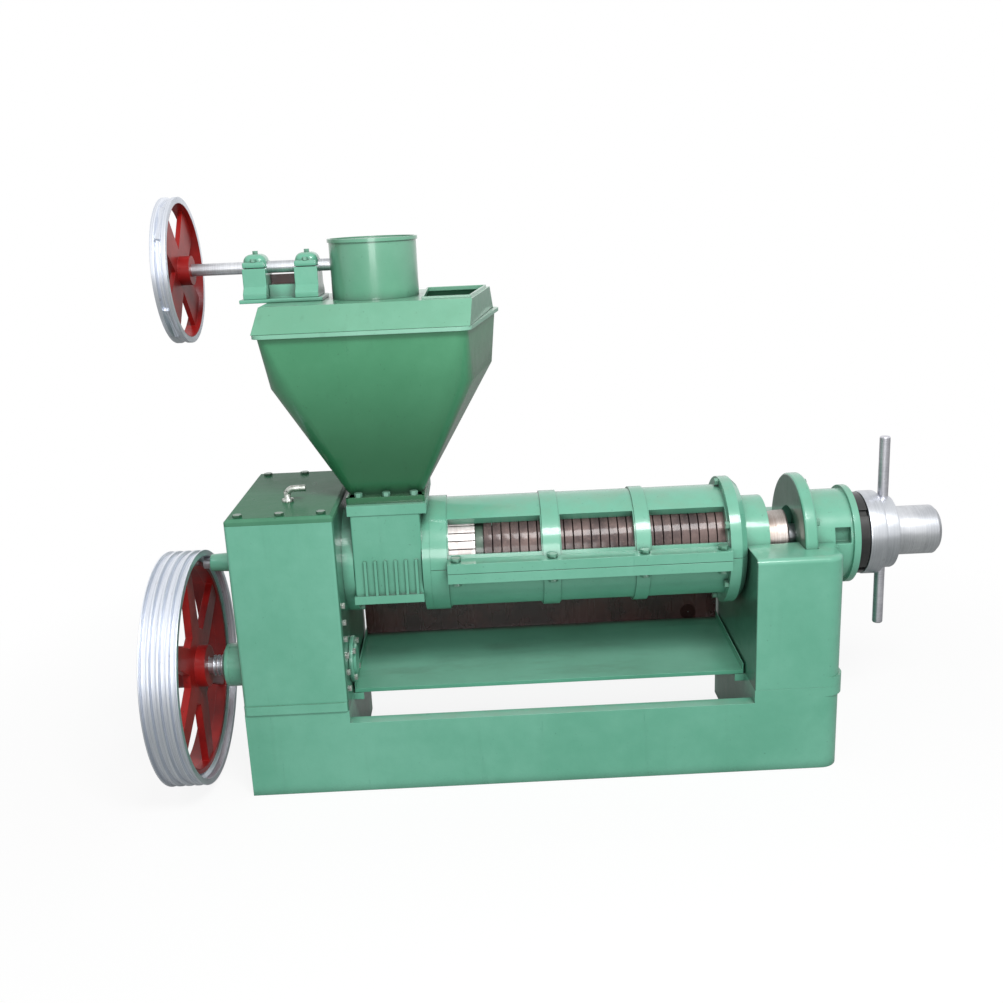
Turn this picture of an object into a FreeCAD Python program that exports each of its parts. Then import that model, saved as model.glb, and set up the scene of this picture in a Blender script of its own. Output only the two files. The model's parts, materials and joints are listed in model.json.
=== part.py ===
import FreeCAD, Part
import math
import os
from FreeCAD import Vector

# Screw oil press, real size in millimetres.
# X runs along the machine from the drive pulley to the cake outlet, -Y is the operator's side, Z is up.
# The origin is the centre of the base's underside.

# Base frame
base_length = 1290.0
base_depth = 400.0
base_height = 193.0
base_wall = 12.0
end_corner_radius = 40.0
deck_thickness = 14.0
front_beam_top = 166.0
front_beam_flange = 30.0
back_rail_bottom = 62.0
deck_lip = 6.0
deck_lip_height = 22.0
foundation_hole_radius = 9.0
foundation_spacing_x = 1170.0
foundation_spacing_y = 300.0
foundation_pad = 72.0
foundation_pad_thickness = 16.0
ledge_width = 22.0
ledge_top = 184.0
ledge_thickness = 10.0

# Gearbox
gearbox_width = 224.0
gearbox_depth = 396.0
gearbox_top = 616.0
gearbox_wall = 12.0
casting_radius = 8.0
cover_thickness = 14.0
cover_chamfer = 6.0
foot_height = 20.0
foot_proud = 4.0
wall_bolt_y = -172.0
wall_bolt_bottom = 232.0
wall_bolt_pitch = 38.0
wall_bolt_count = 6
bearing_boss_wall = 10.0
bearing_boss_depth = 28.0
blind_seat_wall = 4.0

# Shaft lines, as Y and Z
main_axis_y = 0.0
main_axis_z = 476.0
input_axis_y = -100.0
input_axis_z = 270.0

# Gear train, straight spur teeth
tooth_relief = 0.10
first_module = 3.5
input_pinion_teeth = 19
counter_gear_teeth = 57
first_gear_x = -598.0
first_gear_width = 34.0
second_module = 4.5
counter_pinion_teeth = 18
main_gear_teeth = 54
second_gear_x = -536.0
second_gear_width = 46.0
main_gear_extra_width = 8.0

# Shafts and bearings
shaft_fit = 0.05
body_gap = 0.3
input_shaft_radius = 17.5
input_shaft_left = -832.0
input_bearing_radius = 36.0
input_bearing_width = 17.0
input_nose_length = 38.0
input_nose_radius = 47.5
counter_shaft_radius = 17.5
counter_bearing_radius = 40.0
counter_bearing_width = 21.0
main_journal_radius = 30.0
main_tail_radius = 12.5
main_tail_left = -746.0
main_bearing_radius = 55.0
main_bearing_width = 22.0
cap_thickness = 9.0
cap_rim = 15.0
cap_bolt_across = 12.0
cap_bolt_head = 6.0
tail_nose_radius = 19.0
tail_nose_left = -730.0
seal_end_gap = 2.0

# Drive pulley with V grooves
drive_pulley_radius = 256.5
drive_pulley_inner_face = -734.0
drive_pulley_width = 78.0
drive_rim_thickness = 26.0
drive_groove_count = 4
groove_depth = 8.0
groove_top_width = 14.0
groove_bottom_width = 8.0
rim_edge_wall = 5.0
rim_relief_depth = 15.0
drive_hub_radius = 46.0
drive_spoke_count = 6
drive_spoke_root_width = 62.0
drive_spoke_tip_width = 42.0
drive_spoke_thickness = 16.0
drive_web_radius = 84.0

# Feed housing under the hopper
feed_housing_left_flange = 24.0
feed_flange_radius = 121.0
feed_body_left = -397.0
feed_body_right = -249.0
feed_body_half_depth = 120.0
feed_body_bottom = 406.0
feed_sole_height = 18.0
feed_sole_overhang = 8.0
feed_top = 625.0
feed_top_flange = 22.0
throat_radius = 60.0
feed_rib_count = 6
feed_rib_pitch = 22.0
feed_rib_width = 6.0
feed_rib_proud = 6.0
feed_rib_top = 502.0
feed_ring_width = 17.0

# Hopper and lid
feed_axis_x = -318.0
hopper_flange_thickness = 14.0
hopper_flange_half_x = 84.0
hopper_flange_half_y = 106.0
hopper_neck_half_x = 80.0
hopper_neck_half_y = 80.0
hopper_shoulder_z = 875.0
hopper_rim_z = 1000.0
hopper_rim_lip = 8.0
hopper_rim_lip_height = 8.0
hopper_sheet = 4.0
hopper_left = -552.0
hopper_front_right = -121.0
hopper_back_right = -70.0
hopper_front = -190.0
hopper_back = 180.0
hopper_taper_left = 22.0
hopper_taper_depth = 18.0
lid_top_z = 1050.0
lid_slope_depth = 44.0
lid_slope_left = 12.0
lid_sheet = 4.0
mouth_left = -212.0
mouth_margin = 10.0
mouth_half_depth = 118.0
mouth_collar_wall = 4.0
mouth_collar_height = 5.0

# Feed drive on the lid
feed_shaft_z = 1120.0
feed_shaft_radius = 12.5
feed_shaft_left = -750.0
feed_pulley_radius = 149.0
feed_pulley_inner_face = -710.0
feed_pulley_width = 31.0
feed_rim_thickness = 13.0
feed_hub_radius = 30.0
feed_hub_length = 44.0
feed_spoke_count = 4
feed_spoke_root_width = 60.0
feed_spoke_tip_width = 84.0
feed_spoke_thickness = 10.0
bracket_left = -596.0
bracket_right = -424.0
bracket_half_depth = 52.0
bracket_thickness = 8.0
block_centres = (-563.0, -456.0)
block_width = 48.0
block_half_depth = 38.0
block_foot_half_depth = 51.0
block_foot_height = 12.0
block_cap_radius = 25.0
block_ear = 12.0
block_bolt_across = 9.5
block_bolt_head = 7.0
gear_cover_radius = 91.0
gear_cover_top = 1172.0
gear_cover_sheet = 3.0
gear_cover_lip = 7.0
crown_teeth = 36
bevel_pinion_teeth = 12
crown_pitch_radius = 57.0
bevel_face = 17.0
crown_web = 7.0
crown_hub = 12.0
auger_shaft_radius = 12.0
auger_radius = 52.0
auger_bottom = 545.0
auger_flight_height = 200.0
auger_pitch = 70.0
auger_flight_thickness = 5.0
auger_bush_radius = 24.0
auger_bush_depth = 18.0
paddle_length = 120.0
paddle_radius = 6.0
paddle_heights = (800.0, 900.0)

# Press cage in two halves
cage_left = -232.0
cage_first_ring = 37.0
cage_ring_radius = 128.0
cage_shell_radius = 124.0
cage_bore_radius = 104.0
cage_rib_spans = ((11.0, 48.0), (212.0, 242.0))
cage_end_left = 383.0
cage_end_right = 450.0
cage_end_radius = 142.0
cage_end_chamfer = 14.0
cage_joint_half_width = 160.0
cage_joint_thickness = 22.0
cage_joint_gap = 1.0
window_low_angle = 14.0
window_high_angle = 52.0
drain_half_angle = 34.0
joint_bolt_radius = 6.0
joint_bolt_across = 19.0
joint_bolt_head = 9.0
joint_bolt_end = 18.0
joint_bolt_y = 142.0
end_bolt_count = 6
flange_bolt_across = 15.0
flange_bolt_head = 9.0

# Lining bars, rings and the outlet of the cage
worm_bore_radius = 50.0
bar_count = 24
bar_gap = 1.6
bar_right = -118.0
divider_width = 9.0
ring_count = 22
ring_gap = 1.6
neck_radius = 96.0
neck_right = 540.0
outlet_ring_length = 36.0
outlet_ring_outer = 76.0
outlet_clearance = 2.5

# Press worm
worm_core_radius = 27.0
worm_tip_radius = 48.5
worm_left = -396.0
worm_right = 452.0
feed_worm_length = 176.0
feed_worm_turns = 2.5
worm_segments = 6
worm_root_start = 31.0
worm_root_end = 42.0
worm_flight_thickness = 10.0
worm_flight_turns = 0.92
cone_tip_radius = 46.0
cone_end_radius = 60.0
cone_right = 549.0
cone_collar = 8.0

# Pedestal and outlet bearing
pedestal_width = 191.0
pedestal_top = 489.0
pedestal_wall = 14.0
pedestal_top_round = 12.0
pedestal_top_plate = 16.0
pedestal_foot_height = 22.0
outlet_half_depth = 92.0
chute_margin = 24.0
plate_left = 571.0
plate_thickness = 29.0
plate_radius = 142.0
plate_bore = 68.0
housing_right = 703.0
housing_radius = 102.0
housing_flange_radius = 110.0
housing_flange_width = 15.0
saddle_half_depth = 132.0
saddle_depth = 190.0
lubrication_pocket = 34.0
thread_radius = 55.0
thrust_left = 640.0
thrust_right = 674.0
thrust_outer = 54.0
shaft_collar_radius = 44.0
shaft_collar_left = 612.0
shaft_end_radius = 25.0
shaft_end_right = 850.0
lock_ring_width = 32.0
lock_ring_radius = 92.0
lock_ring_slots = 4
lock_ring_slot_width = 14.0
lock_ring_slot_depth = 7.0
hand_ring_left = 738.0
hand_ring_right = 798.0
hand_ring_radius = 94.0
hand_ring_chamfer = 10.0
sleeve_right = 905.0
sleeve_chamfer = 9.0
tommy_bar_radius = 11.5
tommy_bar_x = 780.0
tommy_bar_reach = 222.0
tommy_bar_seat = 14.0
tommy_bar_tilt = 6.0

# Oil tray under the cage
tray_front = -107.0
tray_back = 186.0
tray_sheet = 3.0
tray_front_z = 190.0
tray_fall = 14.0
tray_back_height = 84.0
tray_side_height = 16.0
tray_end_gap = 3.0
spout_radius = 16.0
spout_length = 46.0
spout_from_end = 70.0

# Small fittings
cover_bolt_across = 17.0
cover_bolt_head = 8.0
breather_radius = 7.0
breather_height = 36.0
breather_reach = 50.0
breather_x = -532.0
breather_y = -72.0
plug_across = 24.0
grease_cup_radius = 8.0
grease_cup_height = 16.0

# Values worked out from the sizes above
base_left = -base_length / 2
base_right = base_length / 2
base_front = -base_depth / 2
base_back = base_depth / 2
gearbox_left = base_left
gearbox_right = base_left + gearbox_width
gearbox_front = base_front
gearbox_back = base_front + gearbox_depth
pedestal_left = base_right - pedestal_width
pedestal_right = base_right
input_pinion_pitch = first_module * input_pinion_teeth / 2
counter_gear_pitch = first_module * counter_gear_teeth / 2
counter_pinion_pitch = second_module * counter_pinion_teeth / 2
main_gear_pitch = second_module * main_gear_teeth / 2
first_centres = input_pinion_pitch + counter_gear_pitch
second_centres = counter_pinion_pitch + main_gear_pitch


def counter_axis():
    """Where the countershaft lies so that both gear pairs mesh, behind the line of the other two shafts."""
    dy = main_axis_y - input_axis_y
    dz = main_axis_z - input_axis_z
    span = math.hypot(dy, dz)
    along = (first_centres ** 2 - second_centres ** 2 + span ** 2) / (2 * span)
    aside = math.sqrt(first_centres ** 2 - along ** 2)
    return (input_axis_y + (along * dy + aside * dz) / span,
            input_axis_z + (along * dz - aside * dy) / span)


counter_axis_y, counter_axis_z = counter_axis()


# Basic solids

def block(x0, x1, y0, y1, z0, z1):
    return Part.makeBox(x1 - x0, y1 - y0, z1 - z0, Vector(x0, y0, z0))


def rounded_block(x0, x1, y0, y1, z0, z1, radius, right_end_only=False):
    """A block with its upright corners rounded, all four or only the two at its right end."""
    solid = block(x0, x1, y0, y1, z0, z1)
    upright = [e for e in solid.Edges if e.BoundBox.ZLength > (z1 - z0) / 2
               and (e.BoundBox.XMin > x1 - 0.1 or not right_end_only)]
    return solid.makeFillet(radius, upright)


def rod_x(x0, x1, radius, y=main_axis_y, z=main_axis_z):
    return Part.makeCylinder(radius, x1 - x0, Vector(x0, y, z), Vector(1, 0, 0))


def rod_z(z0, z1, radius, x, y=0.0):
    return Part.makeCylinder(radius, z1 - z0, Vector(x, y, z0), Vector(0, 0, 1))


def tube_x(x0, x1, outer, inner, y=main_axis_y, z=main_axis_z):
    return rod_x(x0, x1, outer, y, z).cut(rod_x(x0, x1, inner, y, z))


def cone_x(x0, x1, r0, r1, y=main_axis_y, z=main_axis_z):
    return Part.makeCone(r0, r1, x1 - x0, Vector(x0, y, z), Vector(1, 0, 0))


def polygon_face(points):
    return Part.Face(Part.makePolygon(points + points[:1]))


def prism_x(x0, x1, yz_points):
    """Extrude an outline drawn in the YZ plane along X."""
    return polygon_face([Vector(x0, y, z) for y, z in yz_points]).extrude(Vector(x1 - x0, 0, 0))


def prism_y(y0, y1, xz_points):
    """Extrude an outline drawn in the XZ plane along Y."""
    return polygon_face([Vector(x, y0, z) for x, z in xz_points]).extrude(Vector(0, y1 - y0, 0))


def fuse_all(shapes):
    body = shapes[0]
    if len(shapes) > 1:
        body = body.multiFuse(shapes[1:])
    return body.removeSplitter()


def cut_all(shape, tools):
    return shape.cut(Part.makeCompound(tools)) if tools else shape


def turned(profile, y, z):
    """Turn an outline of (x, radius) points about a line along X at the given Y and Z."""
    face = polygon_face([Vector(x, y, z + r) for x, r in profile])
    return face.revolve(Vector(0, y, z), Vector(1, 0, 0), 360)


def hexagon(across, height, base, direction):
    """A hexagon head or nut that stands on a point and grows along a direction."""
    radius = across / math.sqrt(3)
    points = [Vector(radius * math.cos(math.radians(60 * i)), radius * math.sin(math.radians(60 * i)), 0)
              for i in range(6)]
    prism = polygon_face(points).extrude(Vector(0, 0, height))
    prism.Placement = FreeCAD.Placement(base, FreeCAD.Rotation(Vector(0, 0, 1), direction))
    return prism


def around_x(count, radius, y, z, start=0.0):
    """Points on a circle about a line along X, as (Y, Z, angle in degrees)."""
    return [(y + radius * math.cos(math.radians(start + 360.0 * i / count)),
             z + radius * math.sin(math.radians(start + 360.0 * i / count)),
             start + 360.0 * i / count) for i in range(count)]


def gear_outline(teeth, module, y, z, x, phase):
    """A spur gear's outline in the YZ plane with straight-sided teeth; phase turns it, in tooth pitches."""
    pitch_radius = teeth * module / 2
    root = pitch_radius - 1.2 * module
    tip = pitch_radius + 0.9 * module
    step = 2 * math.pi / teeth
    points = []
    for i in range(teeth):
        centre = (i + phase) * step
        for radius, share in ((root, -0.34), (tip, -0.15 + tooth_relief / 4), (tip, 0.15 - tooth_relief / 4),
                              (root, 0.34)):
            angle = centre + share * step
            points.append(Vector(x, y + radius * math.cos(angle), z + radius * math.sin(angle)))
    return points


def spur_gear(teeth, module, y, z, x0, width, bore, phase=0.0):
    body = polygon_face(gear_outline(teeth, module, y, z, x0, phase)).extrude(Vector(width, 0, 0))
    return body.cut(rod_x(x0, x0 + width, bore, y, z))


def mesh_phase(teeth, line_angle, tooth_on_line):
    """Phase that puts a tooth, or a gap, on the line of centres at an angle in radians."""
    step = 2 * math.pi / teeth
    share = line_angle / step
    return share if tooth_on_line else share + 0.5


def flight(x0, pitch, turns, root, tip, thickness):
    """A helical flight about the main axis, drawn as a ribbon with a rectangular section."""
    helix = Part.makeHelix(pitch, pitch * turns, (root + tip) / 2)
    inner = root - 1.5
    section = Part.makePolygon([Vector(inner, 0, -thickness / 2), Vector(tip, 0, -thickness / 2),
                                Vector(tip, 0, thickness / 2), Vector(inner, 0, thickness / 2),
                                Vector(inner, 0, -thickness / 2)])
    ribbon = Part.Wire(helix).makePipeShell([section], True, True)
    ribbon.Placement = FreeCAD.Placement(Vector(x0, main_axis_y, main_axis_z),
                                         FreeCAD.Rotation(Vector(0, 0, 1), Vector(1, 0, 0)))
    return ribbon


def sector_cutter(x0, x1, low_angle, high_angle, inner, outer):
    """A wedge about the main axis between two angles in degrees, measured from +Y towards +Z."""
    middle = math.radians((low_angle + high_angle) / 2)
    low, high = math.radians(low_angle), math.radians(high_angle)
    reach = outer / math.cos((high - low) / 2)
    points = [(inner * math.cos(low), inner * math.sin(low)), (reach * math.cos(low), reach * math.sin(low)),
              (reach * math.cos(middle), reach * math.sin(middle)),
              (reach * math.cos(high), reach * math.sin(high)), (inner * math.cos(high), inner * math.sin(high))]
    return prism_x(x0, x1, [(main_axis_y + y, main_axis_z + z) for y, z in points])


# Base frame

def foundation_points():
    return [(sx * foundation_spacing_x / 2, sy * foundation_spacing_y / 2) for sx in (-1, 1) for sy in (-1, 1)]


def base_frame():
    left_box = block(base_left, gearbox_right, base_front, base_back, 0, base_height)
    right_box = rounded_block(pedestal_left, base_right, base_front, base_back, 0, base_height,
                              end_corner_radius, True)
    front = block(gearbox_right, pedestal_left, base_front, base_front + base_wall, 0, front_beam_top)
    flange = block(gearbox_right, pedestal_left, base_front, base_front + front_beam_flange,
                   front_beam_top - base_wall, front_beam_top)
    back = block(gearbox_right, pedestal_left, base_back - base_wall, base_back, back_rail_bottom, base_height)
    back_flange = block(gearbox_right, pedestal_left, base_back - front_beam_flange, base_back,
                        back_rail_bottom, back_rail_bottom + base_wall)
    ledges = [block(gearbox_right, gearbox_right + ledge_width, tray_front, base_back - base_wall,
                    ledge_top - ledge_thickness, ledge_top),
              block(pedestal_left - ledge_width, pedestal_left, tray_front, base_back - base_wall,
                    ledge_top - ledge_thickness, ledge_top)]
    lip = rounded_block(pedestal_left, pedestal_right + deck_lip, base_front, base_back,
                        base_height - deck_lip_height, base_height, end_corner_radius, True)
    frame = fuse_all([left_box, right_box, front, flange, back, back_flange, lip] + ledges)
    hollow = [block(base_left + base_wall, gearbox_right - base_wall, base_front + base_wall,
                    base_back - base_wall, foundation_pad_thickness, base_height - deck_thickness),
              rounded_block(pedestal_left + base_wall, base_right - base_wall, base_front + base_wall,
                            base_back - base_wall, foundation_pad_thickness, base_height - deck_thickness,
                            end_corner_radius - base_wall, True)]
    for x0, x1 in ((base_left, gearbox_right), (pedestal_left, base_right)):
        hollow.append(block(x0 + base_wall, x1 - base_wall, base_front + foundation_pad + base_wall,
                            base_back - foundation_pad - base_wall, 0, foundation_pad_thickness))
    hollow.append(block(pedestal_left + chute_margin, plate_left + plate_thickness, -outlet_half_depth,
                        outlet_half_depth, base_height - deck_thickness, base_height))
    hollow += [rod_z(0, foundation_pad_thickness, foundation_hole_radius, x, y) for x, y in foundation_points()]
    return cut_all(frame, hollow)


# Oil tray

def tray_floor_z(y):
    """Height of the tray floor's top at a depth; it falls towards the front."""
    return tray_front_z + tray_sheet + tray_fall * (y - tray_front) / (tray_back - tray_front)


def oil_tray():
    x0 = gearbox_right + tray_end_gap
    x1 = pedestal_left - tray_end_gap
    top_front, top_back = tray_floor_z(tray_front), tray_floor_z(tray_back)
    floor = prism_x(x0, x1, [(tray_front, top_front - tray_sheet), (tray_front, top_front),
                             (tray_back, top_back), (tray_back, top_back - tray_sheet)])
    wall = block(x0, x1, tray_back - tray_sheet, tray_back, top_back - tray_sheet, top_back + tray_back_height)
    ends = [prism_x(x, x + tray_sheet, [(tray_front, ledge_top), (tray_front, top_front + tray_side_height),
                                        (tray_back, top_back + tray_side_height), (tray_back, ledge_top)])
            for x in (x0, x1 - tray_sheet)]
    hem = block(x0, x1, tray_front, tray_front + tray_sheet, ledge_top, top_front)
    x, z = pedestal_left - spout_from_end, tray_floor_z(tray_back) + spout_radius
    start, along = Vector(x, tray_back - tray_sheet, z), Vector(0, 1, 0)
    pipe = Part.makeCylinder(spout_radius, spout_length, start, along)
    bore = Part.makeCylinder(spout_radius - tray_sheet, spout_length, start, along)
    return fuse_all([floor, wall, hem, pipe] + ends).cut(bore)


# Gearbox castings

def wall_seats():
    """Each bearing seat in the gearbox walls, as Y, Z, bearing radius, bearing width."""
    return [(input_axis_y, input_axis_z, input_bearing_radius, input_bearing_width),
            (counter_axis_y, counter_axis_z, counter_bearing_radius, counter_bearing_width),
            (main_axis_y, main_axis_z, main_bearing_radius, main_bearing_width)]


def gearbox_housing():
    outer = rounded_block(gearbox_left, gearbox_right, gearbox_front, gearbox_back, base_height, gearbox_top,
                          casting_radius)
    inner = block(gearbox_left + gearbox_wall, gearbox_right - gearbox_wall, gearbox_front + gearbox_wall,
                  gearbox_back - gearbox_wall, base_height + gearbox_wall, gearbox_top)
    shell = outer.cut(inner)
    bosses = []
    holes = []
    for y, z, radius, width in wall_seats():
        boss = radius + bearing_boss_wall
        bosses.append(rod_x(gearbox_left, gearbox_left + bearing_boss_depth, boss, y, z))
        bosses.append(rod_x(gearbox_right - bearing_boss_depth, gearbox_right, boss, y, z))
        holes.append(rod_x(gearbox_left - 1, gearbox_left + bearing_boss_depth, radius, y, z))
        wall_end = gearbox_right - blind_seat_wall if y == counter_axis_y else gearbox_right
        holes.append(rod_x(gearbox_right - bearing_boss_depth, wall_end, radius, y, z))
    nose = rod_x(gearbox_left - input_nose_length, gearbox_left, input_nose_radius, input_axis_y, input_axis_z)
    foot = rounded_block(gearbox_left, gearbox_right, gearbox_front - foot_proud, gearbox_back, base_height,
                         base_height + foot_height, casting_radius).cut(inner)
    holes.append(rod_x(gearbox_left - input_nose_length, gearbox_left, input_bearing_radius,
                       input_axis_y, input_axis_z))
    return cut_all(fuse_all([shell, nose, foot] + bosses), holes)


def gearbox_cover():
    plate = rounded_block(gearbox_left, gearbox_right, gearbox_front, gearbox_back, gearbox_top,
                          gearbox_top + cover_thickness, casting_radius)
    top = gearbox_top + cover_thickness
    edges = [e for e in plate.Edges if e.BoundBox.ZMin > top - 0.1]
    return plate.makeChamfer(cover_chamfer, edges).cut(
        rod_z(gearbox_top, top, breather_radius - 1.5, breather_x, breather_y))


def cover_bolts():
    xs = (gearbox_left + 26, (gearbox_left + gearbox_right) / 2, gearbox_right - 26)
    top = gearbox_top + cover_thickness
    points = [(x, y) for y in (gearbox_front + 22, gearbox_back - 22) for x in xs]
    return Part.makeCompound([hexagon(cover_bolt_across, cover_bolt_head, Vector(x, y, top), Vector(0, 0, 1))
                              for x, y in points])


def breather_pipe():
    """A gooseneck breather: a riser, a quarter bend and a level outlet."""
    top = gearbox_top + cover_thickness
    bend = 2 * breather_radius
    riser = [Vector(breather_x, breather_y, top), Vector(breather_x, breather_y, top + breather_height - bend)]
    corner = Vector(breather_x + bend, breather_y, top + breather_height)
    middle = Vector(breather_x + bend - bend * math.cos(math.pi / 4), breather_y,
                    top + breather_height - bend + bend * math.sin(math.pi / 4))
    end = Vector(breather_x + breather_reach, breather_y, top + breather_height)
    path = Part.Wire([Part.LineSegment(*riser).toShape(), Part.Arc(riser[1], middle, corner).toShape(),
                      Part.LineSegment(corner, end).toShape()])
    ring = Part.Wire(Part.makeCircle(breather_radius, riser[0], Vector(0, 0, 1)))
    pipe = path.makePipeShell([ring], True, True)
    collar = rod_z(top, top + 6, breather_radius + 5, breather_x, breather_y)
    return fuse_all([pipe, collar])


def drain_plug():
    base = Vector((gearbox_left + gearbox_right) / 2, gearbox_back, base_height + 34)
    head = hexagon(plug_across, 11, base + Vector(0, 4, 0), Vector(0, 1, 0))
    washer = Part.makeCylinder(plug_across * 0.72, 4, base, Vector(0, 1, 0))
    return fuse_all([washer, head])


# Bearings, one sealed cartridge in each seat

def cartridge(x0, width, outer, bore, y, z):
    groove = 1.2
    ring = tube_x(x0, x0 + width, outer, bore + shaft_fit, y, z)
    mid = (outer + bore) / 2
    seal = [tube_x(x0, x0 + groove, mid + 5, mid - 5, y, z),
            tube_x(x0 + width - groove, x0 + width, mid + 5, mid - 5, y, z)]
    return cut_all(ring, seal)


def input_bearings():
    left = gearbox_left - input_nose_length + 3
    right = gearbox_right - input_bearing_width - 4
    return Part.makeCompound([cartridge(x, input_bearing_width, input_bearing_radius, input_shaft_radius,
                                        input_axis_y, input_axis_z) for x in (left, right)])


def counter_bearings():
    left = gearbox_left + 3
    right = gearbox_right - counter_bearing_width - blind_seat_wall
    return Part.makeCompound([cartridge(x, counter_bearing_width, counter_bearing_radius, counter_shaft_radius,
                                        counter_axis_y, counter_axis_z) for x in (left, right)])


def main_bearings():
    left = gearbox_left + 2
    right = gearbox_right - main_bearing_width - 2
    return Part.makeCompound([cartridge(x, main_bearing_width, main_bearing_radius, main_journal_radius,
                                        main_axis_y, main_axis_z) for x in (left, right)])


# Bearing caps outside the gearbox walls

def input_cap():
    x1 = gearbox_left - input_nose_length
    x0 = x1 - cap_thickness - 6
    return turned([(x0, input_shaft_radius + 1), (x0, input_nose_radius - 12), (x0 + 6, input_nose_radius - 2),
                   (x0 + 6, input_nose_radius), (x1, input_nose_radius), (x1, input_shaft_radius + 1)],
                  input_axis_y, input_axis_z)


def closed_cap(wall_x, side, y, z, seat_radius):
    """A blind cap over a bearing seat; side is -1 on the left wall and 1 on the right wall."""
    outer = seat_radius + cap_rim
    x_out = wall_x + side * cap_thickness
    x_dome = wall_x + side * (cap_thickness + 5)
    return turned([(wall_x, 0), (wall_x, outer), (x_out, outer), (x_out, seat_radius - 1),
                   (x_dome, seat_radius - 6), (x_dome, 0)], y, z)


def blind_caps():
    return Part.makeCompound([
        closed_cap(gearbox_left, -1, counter_axis_y, counter_axis_z, counter_bearing_radius),
        closed_cap(gearbox_right, 1, input_axis_y, input_axis_z, input_bearing_radius)])


def tail_cap():
    """The main shaft's left cap, with a long nose round the shaft's tail."""
    bore = main_tail_radius + 1
    outer = main_bearing_radius + cap_rim
    x1 = gearbox_left
    cavity = main_journal_radius + 3
    return turned([(x1, cavity), (x1, outer), (x1 - cap_thickness, outer),
                   (x1 - cap_thickness, main_bearing_radius - 1), (x1 - cap_thickness - 14, cavity + 8),
                   (x1 - cap_thickness - 18, tail_nose_radius + 3), (tail_nose_left, tail_nose_radius),
                   (tail_nose_left, bore), (x1 - cap_thickness, bore), (x1 - cap_thickness, cavity)],
                  main_axis_y, main_axis_z)


def shaft_seal():
    """Packing ring that keeps seed meal out of the gearbox."""
    x0, x1 = gearbox_right, worm_left - seal_end_gap
    return tube_x(x0, x1, worm_bore_radius, main_journal_radius + shaft_fit)


def cap_bolts():
    heads = []
    left_face = gearbox_left - cap_thickness
    right_face = gearbox_right + cap_thickness
    rows = ((left_face, -1, counter_axis_y, counter_axis_z, counter_bearing_radius, 4, 45),
            (right_face, 1, input_axis_y, input_axis_z, input_bearing_radius, 4, 45),
            (left_face, -1, main_axis_y, main_axis_z, main_bearing_radius, 6, 30))
    for x, side, y, z, seat_radius, count, start in rows:
        for by, bz, angle in around_x(count, seat_radius + cap_rim / 2, y, z, start):
            heads.append(hexagon(cap_bolt_across, cap_bolt_head, Vector(x, by, bz), Vector(side, 0, 0)))
    for i in range(wall_bolt_count):
        spot = Vector(gearbox_right, wall_bolt_y, wall_bolt_bottom + i * wall_bolt_pitch)
        heads.append(hexagon(cap_bolt_across, cap_bolt_head, spot, Vector(1, 0, 0)))
    return Part.makeCompound(heads)


# Gear train and drive shafts

def centre_line_angle(y0, z0, y1, z1):
    return math.atan2(z1 - z0, y1 - y0)


def input_pinion():
    angle = centre_line_angle(input_axis_y, input_axis_z, counter_axis_y, counter_axis_z)
    phase = mesh_phase(input_pinion_teeth, angle, True)
    return spur_gear(input_pinion_teeth, first_module, input_axis_y, input_axis_z, first_gear_x,
                     first_gear_width, input_shaft_radius, phase)


def counter_gear():
    angle = centre_line_angle(counter_axis_y, counter_axis_z, input_axis_y, input_axis_z)
    phase = mesh_phase(counter_gear_teeth, angle, False)
    gear = spur_gear(counter_gear_teeth, first_module, counter_axis_y, counter_axis_z, first_gear_x,
                     first_gear_width, counter_shaft_radius, phase)
    dish = 9.0
    recess = [tube_x(first_gear_x, first_gear_x + dish, counter_gear_pitch - 16, 32, counter_axis_y, counter_axis_z),
              tube_x(first_gear_x + first_gear_width - dish, first_gear_x + first_gear_width,
                     counter_gear_pitch - 16, 32, counter_axis_y, counter_axis_z)]
    return cut_all(gear, recess)


def counter_pinion():
    angle = centre_line_angle(counter_axis_y, counter_axis_z, main_axis_y, main_axis_z)
    phase = mesh_phase(counter_pinion_teeth, angle, True)
    return spur_gear(counter_pinion_teeth, second_module, counter_axis_y, counter_axis_z, second_gear_x,
                     second_gear_width, counter_shaft_radius, phase)


def main_gear():
    angle = centre_line_angle(main_axis_y, main_axis_z, counter_axis_y, counter_axis_z)
    phase = mesh_phase(main_gear_teeth, angle, False)
    x0 = second_gear_x - main_gear_extra_width
    width = second_gear_width + 2 * main_gear_extra_width
    gear = spur_gear(main_gear_teeth, second_module, main_axis_y, main_axis_z, x0, width,
                     main_journal_radius, phase)
    dish = 16.0
    recess = [tube_x(x0, x0 + dish, main_gear_pitch - 20, 48),
              tube_x(x0 + width - dish, x0 + width, main_gear_pitch - 20, 48)]
    return cut_all(gear, recess)


def countershaft():
    return rod_x(gearbox_left + 2, gearbox_right - blind_seat_wall - body_gap, counter_shaft_radius,
                 counter_axis_y, counter_axis_z)


def input_shaft():
    shaft = rod_x(input_shaft_left, gearbox_right - 3, input_shaft_radius, input_axis_y, input_axis_z)
    return shaft.cut(block(drive_pulley_inner_face - drive_pulley_width, drive_pulley_inner_face,
                           input_axis_y - 5, input_axis_y + 5,
                           input_axis_z + input_shaft_radius - 4, input_axis_z + input_shaft_radius + 4))


def pulley_key():
    return block(drive_pulley_inner_face - drive_pulley_width, drive_pulley_inner_face, input_axis_y - 5,
                 input_axis_y + 5, input_axis_z + input_shaft_radius - 4, input_axis_z + input_shaft_radius + 4)


def pulley_end_washer():
    x = input_shaft_left
    washer = rod_x(x - 6, x, 26, input_axis_y, input_axis_z)
    head = hexagon(24, 12, Vector(x - 6, input_axis_y, input_axis_z), Vector(-1, 0, 0))
    return fuse_all([washer, head])


# Pulleys

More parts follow.
